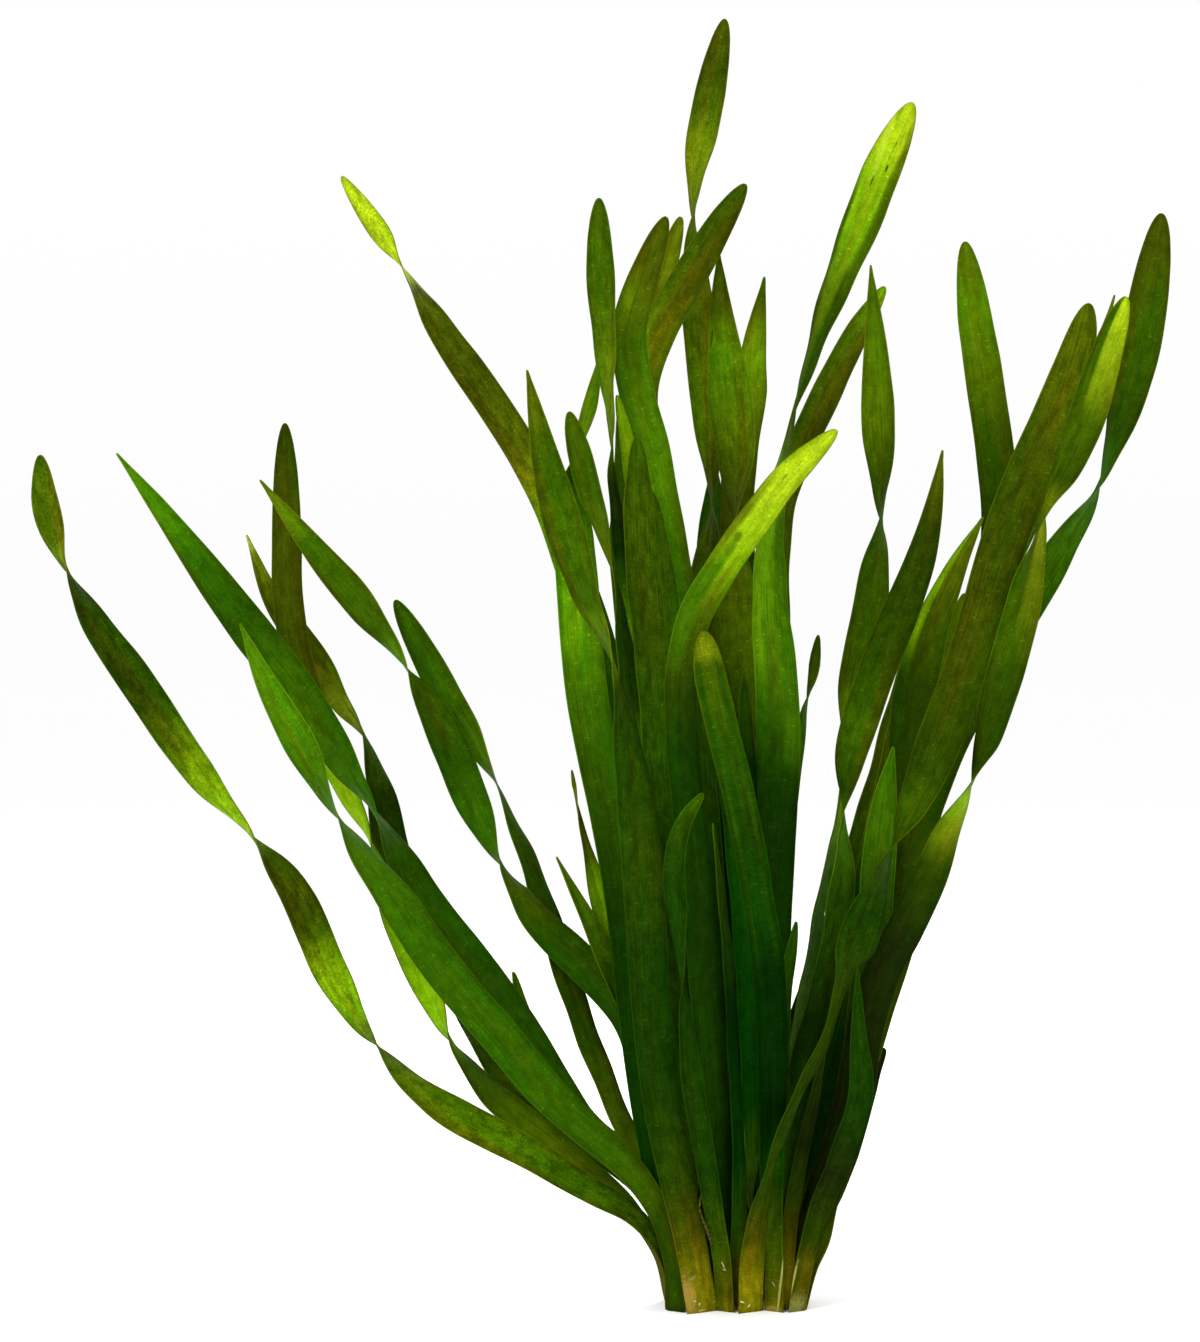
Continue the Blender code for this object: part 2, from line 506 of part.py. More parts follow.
def ease_apart(ribbons):
    """Moves blades that are too near each other apart: mostly in depth, and near the crown also sideways."""
    owner = np.concatenate([np.full(len(r.travel), i) for i, r in enumerate(ribbons)])
    starts = np.cumsum([0] + [len(r.travel) for r in ribbons])
    reach = np.concatenate([r.width for r in ribbons]) / 2
    leans = np.array([r.leaf.lean for r in ribbons])[owner]
    free = np.concatenate([ease((r.travel - 3) / 30) for r in ribbons])
    for step in range(EASE_ROUNDS):
        for ribbon in ribbons:
            ribbon.place()
        points = np.vstack([r.points for r in ribbons])
        half = np.vstack([r.half for r in ribbons])
        if step % NEIGHBOURS_EVERY == 0:
            pairs = near_pairs(points, owner, reach)
        a, b = pairs.T
        on_a, on_b = closest_between(points[a] - half[a], points[a] + half[a],
                                     points[b] - half[b], points[b] + half[b])
        apart = on_b - on_a
        distance = np.linalg.norm(apart, axis=1)
        height = ease(points[a, 2] / CLEAR_FULL_HEIGHT)
        short = CLEAR_AT_BASE + (CLEAR_ABOVE - CLEAR_AT_BASE) * height - distance
        touching = short > 0
        a, b, apart, distance = a[touching], b[touching], apart[touching], distance[touching]
        short, height = short[touching], height[touching]
        # Two leaves that touch keep one order over a stretch of height: the one they mostly have there.
        stretch = (owner[a] * len(ribbons) + owner[b]) * 100 + (points[a, 2] // ORDER_STRETCH).astype(int)
        _, place = np.unique(stretch, return_inverse=True)
        behind = points[b, 1] - points[a, 1] + 0.02 * (leans[b] - leans[a])
        deeper = np.where(np.bincount(place, weights=behind)[place] >= 0, 1.0, -1.0)
        sideways = np.where(distance < 0.5, 0, apart[:, 0] / np.maximum(distance, 0.5)) * (1 - height)
        for push, name in ((0.25 * short * sideways, "aside"), (0.3 * short * deeper, "depth")):
            total = np.zeros(len(points))
            np.maximum.at(total, b, push)
            np.maximum.at(total, a, -push)
            lowest = np.zeros(len(points))
            np.minimum.at(lowest, b, push)
            np.minimum.at(lowest, a, -push)
            total = (total + lowest) * free
            for i, ribbon in enumerate(ribbons):
                part = smoothed(total[starts[i]:starts[i + 1]])
                setattr(ribbon, name, getattr(ribbon, name) + part * ease((ribbon.travel - 3) / 30))
    for ribbon in ribbons:
        ribbon.place()
    return int(touching.sum())


def stations_of(ribbon):
    """Places along a leaf for its faces' edges: closer together where it twists and towards its tip."""
    length = ribbon.travel[-1]
    turned = np.concatenate([[0], np.cumsum(np.abs(np.diff(ribbon.turn)))])
    effort = ribbon.travel / STATION_SPACING + np.degrees(turned) / STATION_TURN
    count = max(6, math.ceil(effort[-1]) - 2)
    places = np.interp(np.linspace(0, effort[-1], count + 1), effort, ribbon.travel)
    places = places[places < length - TIP_STATIONS[-1] - 5]
    places = np.concatenate([places, length - np.array(TIP_STATIONS[::-1]), [length]])
    nearest = np.unique([int(np.argmin(np.abs(ribbon.travel - place))) for place in places])
    return ribbon.travel[nearest]


def material(name, colour):
    made = bpy.data.materials.new(name)
    made.use_nodes = True
    shader = made.node_tree.nodes["Principled BSDF"]
    shader.inputs["Base Color"].default_value = (*colour, 1)
    shader.inputs["Roughness"].default_value = ROUGHNESS
    shader.inputs["Metallic"].default_value = 0.0
    made.diffuse_color = (*colour, 1)
    return made


def add_object(name, mesh, colour, collection):
    made = bpy.data.objects.new(name, mesh)
    made.data.materials.append(material(name, colour))
    collection.objects.link(made)
    return made


def make_leaf(ribbon, collection):
    """A flat strip of faces, bent and twisted along the leaf's middle line. Solidify gives its thickness."""
    strip = bmesh.new()
    bmesh.ops.create_grid(strip, x_segments=1, y_segments=len(ribbon.stations) - 1, size=1)
    strip.verts.ensure_lookup_table()
    rows = sorted(strip.verts, key=lambda corner: (round(corner.co.y, 5), corner.co.x))
    foot = ribbon.points[0]
    nearest = [int(np.argmin(np.abs(ribbon.travel - place))) for place in ribbon.stations]
    for k, (left, right) in zip(nearest, zip(rows[::2], rows[1::2])):
        left.co = (ribbon.points[k] - ribbon.half[k] - foot) * MM
        right.co = (ribbon.points[k] + ribbon.half[k] - foot) * MM
    bmesh.ops.triangulate(strip, faces=strip.faces[:], quad_method="FIXED")
    mesh = bpy.data.meshes.new(ribbon.leaf.name)
    strip.to_mesh(mesh)
    strip.free()
    leaf = add_object(ribbon.leaf.name, mesh, ribbon.leaf.tone, collection)
    leaf.location = foot * MM
    blade = leaf.modifiers.new("blade", "SOLIDIFY")
    blade.thickness = BLADE_THICKNESS * MM
    blade.offset = 0
    return leaf


def crown_radius(angle):
    """How far the crown's outline reaches from its middle in this direction."""
    along_x = abs(math.cos(angle)) / CROWN_HALF_LENGTH
    along_y = abs(math.sin(angle)) / CROWN_HALF_WIDTH
    return (along_x**CROWN_SQUARENESS + along_y**CROWN_SQUARENESS) ** (-1 / CROWN_SQUARENESS)


def make_crown(collection):
    """The low slab that carries every leaf, flat underneath and with its upper edge rounded."""
    slab = bmesh.new()
    bmesh.ops.create_circle(slab, cap_ends=True, segments=CROWN_OUTLINE_POINTS, radius=1)
    for corner in slab.verts:
        angle = math.atan2(corner.co.y, corner.co.x)
        corner.co = np.array([math.cos(angle), math.sin(angle), 0]) * crown_radius(angle) * MM
    grown = bmesh.ops.extrude_face_region(slab, geom=slab.faces[:])
    top = [item for item in grown["geom"] if isinstance(item, bmesh.types.BMVert)]
    bmesh.ops.translate(slab, verts=top, vec=(0, 0, CROWN_HEIGHT * MM))
    rim = [edge for edge in slab.edges if all(corner in set(top) for corner in edge.verts)]
    bmesh.ops.bevel(slab, geom=rim, offset=CROWN_EDGE * MM, segments=1, profile=0.5,
                    affect="EDGES", material=-1)
    bmesh.ops.recalc_face_normals(slab, faces=slab.faces)
    mesh = bpy.data.meshes.new("crown")
    slab.to_mesh(mesh)
    slab.free()
    return add_object("crown", mesh, CROWN_CREAM, collection)


def main():
    for leftover in list(bpy.data.objects):
        bpy.data.objects.remove(leftover)
    clump = bpy.data.collections.new("vallisneria")
    bpy.context.scene.collection.children.link(clump)
    ribbons = [Ribbon(leaf) for leaf in LEAVES]
    still_near = ease_apart(ribbons)
    print(f"{len(ribbons)} leaves, {still_near} pairs of samples still nearer than their clearance")
    make_crown(clump)
    for ribbon in ribbons:
        make_leaf(ribbon, clump)


main()
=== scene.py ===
# %% [markdown]
# # A clump of vallisneria
#
# Vallisneria is an aquarium plant. Its leaves are long soft ribbons that rise in rosettes from a short
# rootstock, and many of them twist about their own length. This lesson dresses a plain solid model of one
# clump: every leaf gets a fine, softly curved blade, a surface with veins and flecks, and its own colours
# from the pale foot to the tip. The solids fix where each leaf runs and how wide it is, so each blade is
# worked out from its solid and stays where it stands.

# %% Load the solids

import json
import math

import bmesh
import bpy
import numpy as np
from mathutils import Matrix, Vector, noise

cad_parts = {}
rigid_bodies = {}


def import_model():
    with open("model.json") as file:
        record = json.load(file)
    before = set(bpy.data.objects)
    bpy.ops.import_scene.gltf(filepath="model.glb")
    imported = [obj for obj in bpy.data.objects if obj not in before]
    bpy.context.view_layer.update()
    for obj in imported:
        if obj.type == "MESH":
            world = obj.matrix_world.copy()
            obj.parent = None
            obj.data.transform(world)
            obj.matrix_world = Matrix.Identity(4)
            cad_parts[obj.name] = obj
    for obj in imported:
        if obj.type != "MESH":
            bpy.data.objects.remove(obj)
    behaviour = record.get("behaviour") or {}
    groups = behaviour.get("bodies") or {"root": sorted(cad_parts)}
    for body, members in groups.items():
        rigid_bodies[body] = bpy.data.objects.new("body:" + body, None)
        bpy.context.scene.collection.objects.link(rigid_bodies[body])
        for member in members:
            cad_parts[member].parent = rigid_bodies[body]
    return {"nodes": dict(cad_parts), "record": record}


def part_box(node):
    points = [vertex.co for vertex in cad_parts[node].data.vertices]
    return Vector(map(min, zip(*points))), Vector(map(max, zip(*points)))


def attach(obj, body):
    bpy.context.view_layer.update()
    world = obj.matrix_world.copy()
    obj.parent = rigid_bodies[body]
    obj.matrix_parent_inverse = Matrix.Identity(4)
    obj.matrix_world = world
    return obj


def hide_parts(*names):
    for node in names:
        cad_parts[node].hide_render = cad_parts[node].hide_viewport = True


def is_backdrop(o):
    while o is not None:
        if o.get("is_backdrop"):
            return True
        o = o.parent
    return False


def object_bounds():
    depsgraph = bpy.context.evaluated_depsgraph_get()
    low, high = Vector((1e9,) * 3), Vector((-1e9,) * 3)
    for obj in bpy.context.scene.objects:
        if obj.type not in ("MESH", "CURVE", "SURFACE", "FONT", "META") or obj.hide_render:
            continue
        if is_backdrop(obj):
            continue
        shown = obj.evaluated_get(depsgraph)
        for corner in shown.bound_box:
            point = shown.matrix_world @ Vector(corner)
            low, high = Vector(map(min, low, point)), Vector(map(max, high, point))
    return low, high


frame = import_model()
MM = 0.001
cad_box = [list(corner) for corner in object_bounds()]
leaf_names = sorted(name for name in frame["nodes"] if name.startswith("leaf_"))
slot_of = {part["node"]: part["material_slot"] for part in frame["record"]["subparts"]}
print(len(leaf_names), "leaves and a crown inside", cad_box)

# %% [markdown]
# ## Reading a leaf's line from its solid
#
# Each solid leaf is a thin strip of straight-sided faces. Where the leaf bends or twists, a pair of corners
# crosses it from margin to margin. A path through these pairs is all that a fine blade needs: the middle of
# each pair, and the way from the middle to the right margin. The strip could be subdivided instead, but that
# would round its corners without giving the tip its real outline.

# %% Find the pairs of corners

# An edge shorter than SAME_CORNER runs through the thickness of the strip, and the corners of the foot lie
# on one level to within SAME_LEVEL.
SAME_CORNER = 0.75 * MM
SAME_LEVEL = 0.05 * MM
TOUCHING = 0.001 * MM


def margin_corners(node):
    """The strip's corners halfway through its thickness, and which of them are joined by an edge."""
    strip = bmesh.new()
    strip.from_mesh(frame["nodes"][node].data)
    bmesh.ops.remove_doubles(strip, verts=strip.verts, dist=TOUCHING)
    strip.verts.ensure_lookup_table()
    number = {}
    places = []
    for corner in strip.verts:
        if corner.index in number:
            continue
        across = [edge.other_vert(corner) for edge in corner.link_edges if edge.calc_length() < SAME_CORNER]
        twin = min(across, key=lambda other: (other.co - corner.co).length)
        number[corner.index] = number[twin.index] = len(places)
        places.append((corner.co + twin.co) / 2)
    joined = {i: set() for i in range(len(places))}
    for edge in strip.edges:
        a, b = (number[corner.index] for corner in edge.verts)
        if a != b:
            joined[a].add(b)
            joined[b].add(a)
    strip.free()
    return places, joined


def rungs_of(node):
    """The middle and the half width, as a vector to the right margin, of each pair from foot to tip."""
    places, joined = margin_corners(node)
    lowest = min(place.z for place in places)
    row = [i for i, place in enumerate(places) if place.z < lowest + SAME_LEVEL]
    seen = set(row)
    rows = [row]
    while len(seen) < len(places):
        row = sorted({j for i in rows[-1] for j in joined[i]} - seen)
        seen.update(row)
        rows.append(row)
    middles, halves = [], []
    for left, right in rows:
        middle = (places[left] + places[right]) / 2
        half = (places[right] - places[left]) / 2
        if halves and half.dot(halves[-1]) < 0:
            half = -half
        middles.append(middle)
        halves.append(half)
    if halves[len(halves) // 2].x < 0:
        halves = [-half for half in halves]
    return np.array(middles), np.array(halves)


sample = rungs_of("leaf_front_left_5")
print("the far left leaf has", len(sample[0]), "rungs")

# %% [markdown]
# ## From rungs to a blade
#
# Between rungs the middle of the leaf follows a smooth curve that passes through each of them. The width
# grows slowly along the leaf and closes fast at the tip, so it is carried along the square root of the
# distance to the tip, which gives a round end. Rows of points lie 2 mm apart and crowd together at the tip.

# %% Smooth lines through the rungs

ROW_SPACING = 2.0 * MM
TIP_LENGTH = 8 * MM
# How far the last rows lie from the tip, in millimetres.
TIP_ROWS = (0.0, 0.12, 0.4, 0.9, 1.7, 2.9, 4.5, 6.4)
POINT_WIDTH = 0.15 * MM


def smooth_line(points, knots, at):
    """The smooth curve through the points, read at these distances along it."""
    slopes = np.gradient(points, knots, axis=0)
    place = np.clip(np.searchsorted(knots, at, side="right") - 1, 0, len(knots) - 2)
    span = (knots[place + 1] - knots[place])[:, None]
    t = (at[:, None] - knots[place][:, None]) / span
    return ((2 * t**3 - 3 * t**2 + 1) * points[place] + (t**3 - 2 * t**2 + t) * span * slopes[place]
            + (3 * t**2 - 2 * t**3) * points[place + 1] + (t**3 - t**2) * span * slopes[place + 1])


def unit(rows):
    """Each row as a direction: a vector of length 1."""
    return rows / np.linalg.norm(rows, axis=1)[:, None]


def blade_rows(node):
    """Distances along the leaf, its middle line, the directions of its width and face, and half widths."""
    middles, halves = rungs_of(node)
    knots = np.concatenate([[0], np.cumsum(np.linalg.norm(np.diff(middles, axis=0), axis=1))])
    length = knots[-1]
    body = np.arange(0, length - TIP_LENGTH, ROW_SPACING)
    at = np.concatenate([body, length - np.array(TIP_ROWS[::-1]) * MM])
    middle = smooth_line(middles, knots, at)
    across = unit(smooth_line(unit(halves), knots, at))
    forward = unit(np.gradient(middle, at, axis=0))
    across = unit(across - (across * forward).sum(1)[:, None] * forward)
    face = np.cross(across, forward)
    widths = np.linalg.norm(halves, axis=1)
    widths[-1] = POINT_WIDTH
    to_tip = np.sqrt(length - knots)
    half = np.interp(-np.sqrt(np.maximum(length - at, 0)), -to_tip, widths)
    return at, middle, across, face, half


print("its blade gets", len(blade_rows("leaf_front_left_5")[0]), "rows of points")

# %% [markdown]
# ## The blade's own form
#
# A living leaf of this kind is never quite flat. It is hollowed a little from margin to margin, a shallow
# groove runs down its middle, and its margins are slightly wavy. The grid of a blade is made flat with
# create_grid, each of its corners is carried to its place on the leaf, and Solidify gives it half a
# millimetre of thickness that thins towards the margins. Two attributes go with the corners: where on the
# leaf each one lies, in millimetres, which the veins follow, and its colour.

# %% Give the blade its form

COLUMNS = 16
# The share of the spacing that draws the columns together at the margins, where the form changes most.
CROWDING = 0.35
# The hollow deepens with the square of the distance from the middle, and crosses the solid's own plane
# where that square is HOLLOW_LEVEL. It is HOLLOW times the half width, times LEAST_HOLLOW to one more. A
# share of the leaves, SHARE_TURNED, is hollowed from the other face.
HOLLOW = 0.09
LEAST_HOLLOW = 0.4
HOLLOW_LEVEL = 0.4
SHARE_TURNED = 0.4
GROOVE_DEPTH = 0.16 * MM
GROOVE_WIDTH = 0.55 * MM
# The wave keeps its full height where the half width is at least WAVE_FULL_AT. The power EDGE_POWER keeps
# it, and the thinning of the blade, near the margins.
WAVE_HEIGHT = 0.32 * MM
WAVE_LENGTH = 23 * MM
WAVE_FULL_AT = 4 * MM
EDGE_POWER = 3
# The foot is flat: hollow, groove and wave grow over this stretch.
SETTLE_LENGTH = 40 * MM
# Steps that spread the leaves' own numbers evenly between 0 and 1.
NAME_STEP = 0.7548
TRAIT_STEP = 0.5698
TRAITS = 6


def character(name, number):
    """A number from 0 to 1 that belongs to this leaf, for what differs from leaf to leaf."""
    letters = sum((i + 3) * ord(letter) for i, letter in enumerate(name))
    return letters * (NAME_STEP + TRAIT_STEP * number) % 1


def surface_rise(traits, u, half, at):
    """How far the blade stands in front of its middle plane, at u from -1 to 1 across it."""
    hollow = HOLLOW * (LEAST_HOLLOW + traits[1]) * (1 if traits[2] > SHARE_TURNED else -1)
    groove = GROOVE_DEPTH * math.exp(-(u * half / GROOVE_WIDTH) ** 2)
    phase = 2 * math.pi * (at / WAVE_LENGTH + traits[3 if u < 0 else 4])
    wave = WAVE_HEIGHT * abs(u) ** EDGE_POWER * math.sin(phase) * min(1, half / WAVE_FULL_AT)
    settled = min(at / SETTLE_LENGTH, 1)
    return (hollow * half * (u * u - HOLLOW_LEVEL) - groove + wave) * settled


even_columns = [2 * j / COLUMNS - 1 for j in range(COLUMNS + 1)]
columns = [math.sin(u * math.pi / 2) * CROWDING + u * (1 - CROWDING) for u in even_columns]
print("a blade has columns at", [round(u, 2) for u in columns])

# %% Mix a leaf's colours

# How softly a band ends: up the leaf in millimetres, and across it in shares of the half width.
BAND_FADE_UP = 15.0
BAND_FADE_ACROSS = 0.16


def tones_along(tones, heights):
    """The colour at each height, painted light and shade included, with one smooth change from each tone to
    the next.
    """
    levels = [level for level, tone in tones]
    return np.column_stack([np.interp(heights, levels, [tone[i] for level, tone in tones]) for i in range(3)])


def within(value, low, high, fade):
    """1 between the limits and 0 outside them, with a soft change at each."""
    t = min(max(min(value - low, high - value) / fade + 0.5, 0), 1)
    return t * t * (3 - 2 * t)


def banded(shade, bands, height, seen):
    """The colour at this height and this place across, once the leaf's bands are laid over it."""
    for low, high, left, right, tone in bands:
        share = within(height, low, high, BAND_FADE_UP) * within(seen, left, right, BAND_FADE_ACROSS)
        shade = shade + (np.array(tone) - shade) * share
    return shade


# %% Lay the blade along its leaf

THICKNESS = 0.5 * MM
MARGIN_THINNESS = 0.45
# The foot is a little wider than its solid, and its lowest row is let down until it almost stands on the
# ground, by FOOT_DEPTH at most.
FOOT_FLARE = 0.14
FLARE_HEIGHT = 28 * MM
FOOT_DEPTH = 1.4 * MM
LOWEST_FOOT = 0.02 * MM
# Each leaf reads its patterns from another stretch, up to this many millimetres along.
PATTERN_SHIFT = 400


def piece_from(shape, name):
    """Makes a smooth piece at the origin from a bmesh, and frees the bmesh."""
    mesh = bpy.data.meshes.new(name)
    shape.to_mesh(mesh)
    shape.free()
    mesh.polygons.foreach_set("use_smooth", [True] * len(mesh.polygons))
    piece = bpy.data.objects.new(name, mesh)
    bpy.context.scene.collection.objects.link(piece)
    return piece


def leaf_blade(name, tones, bands):
    """The blade of one leaf, with the place of each corner on it and its colour as attributes."""
    at, middle, across, face, half = blade_rows(name)
    half = half * (1 + FOOT_FLARE * np.clip(1 - at / FLARE_HEIGHT, 0, 1))
    traits = [character(name, number) for number in range(TRAITS)]
    heights = middle[:, 2] / MM
    shades = tones_along(tones, heights)
    grid = bmesh.new()
    bmesh.ops.create_grid(grid, x_segments=COLUMNS, y_segments=len(at) - 1, size=1)
    place = grid.verts.layers.float_vector.new("blade")
    colour = grid.verts.layers.float_color.new("tone")
    thickness = grid.verts.layers.deform.verify()
    corners = sorted(grid.verts, key=lambda corner: (round(corner.co.y, 6), corner.co.x))
    for k in range(len(at)):
        for u, corner in zip(columns, corners[k * len(columns):(k + 1) * len(columns)]):
            side = u * half[k]
            rise = surface_rise(traits, u, half[k], at[k])
            corner.co = Vector(middle[k] + across[k] * side + face[k] * rise)
            corner[place] = (side / MM, at[k] / MM + PATTERN_SHIFT * traits[5], (half[k] - abs(side)) / MM)
            seen = u if across[k, 0] > 0 else -u
            corner[colour] = (*banded(shades[k], bands, heights[k], seen), 1)
            corner[thickness][0] = 1 - (1 - MARGIN_THINNESS) * abs(u) ** EDGE_POWER
    for corner in corners[:len(columns)]:
        corner.co.z = max(LOWEST_FOOT, corner.co.z - FOOT_DEPTH)
    piece = piece_from(grid, name.replace("leaf_", "blade_"))
    piece.vertex_groups.new(name="thickness")
    solid = piece.modifiers.new("thickness", "SOLIDIFY")
    solid.thickness = THICKNESS
    solid.offset = 0
    solid.vertex_group = "thickness"
    return piece


# %% [markdown]
# ## The colours of the clump
#
# The leaves of one clump differ in age, so no two have the same colours. The feet, which stood in the ground,
# are straw yellow, the lower blades are deep green, and the old ones go olive and brown. The tones also carry
# painted light and shade: the darkest greens low in the heart of the clump are painted shade, and the bright
# lime and yellow stops at twists and thin tips are painted light that falls on the twists and shines through
# the tips. Each tone has a name here, and each leaf lists the tones that it takes on at heights above the
# cut, in millimetres. A painted picture could hold the same, but it would have to be unwrapped onto every
# blade, and a list is easier to change.

# %% Name the tones

# Each tone is linear red, green and blue.
NIGHT = (0.0016, 0.016, 0.0004)
POND = (0.004, 0.036, 0.0005)
LAGOON = (0.005, 0.062, 0.0005)
SHADE = (0.0075, 0.033, 0.0005)
DEEP = (0.016, 0.055, 0.0006)
GREEN = (0.026, 0.082, 0.0007)
MEADOW = (0.040, 0.115, 0.001)
FRESH = (0.060, 0.160, 0.0012)
LIME = (0.095, 0.225, 0.0015)
BRIGHT = (0.150, 0.300, 0.002)
YELLOW = (0.300, 0.440, 0.006)
PALE = (0.430, 0.540, 0.035)
OLIVE = (0.034, 0.072, 0.0006)
DARK_OLIVE = (0.018, 0.042, 0.0005)
BROWN = (0.034, 0.054, 0.0007)
TAN = (0.058, 0.088, 0.001)
SPRING = (0.064, 0.118, 0.001)
GOLD = (0.110, 0.155, 0.002)
PEAT = (0.008, 0.015, 0.0012)
STRAW = (0.175, 0.165, 0.002)
FOOT_OLIVE = (0.058, 0.062, 0.001)
print("the darkest tone is", NIGHT, "and the palest", PALE)

# %% Give each leaf its tones

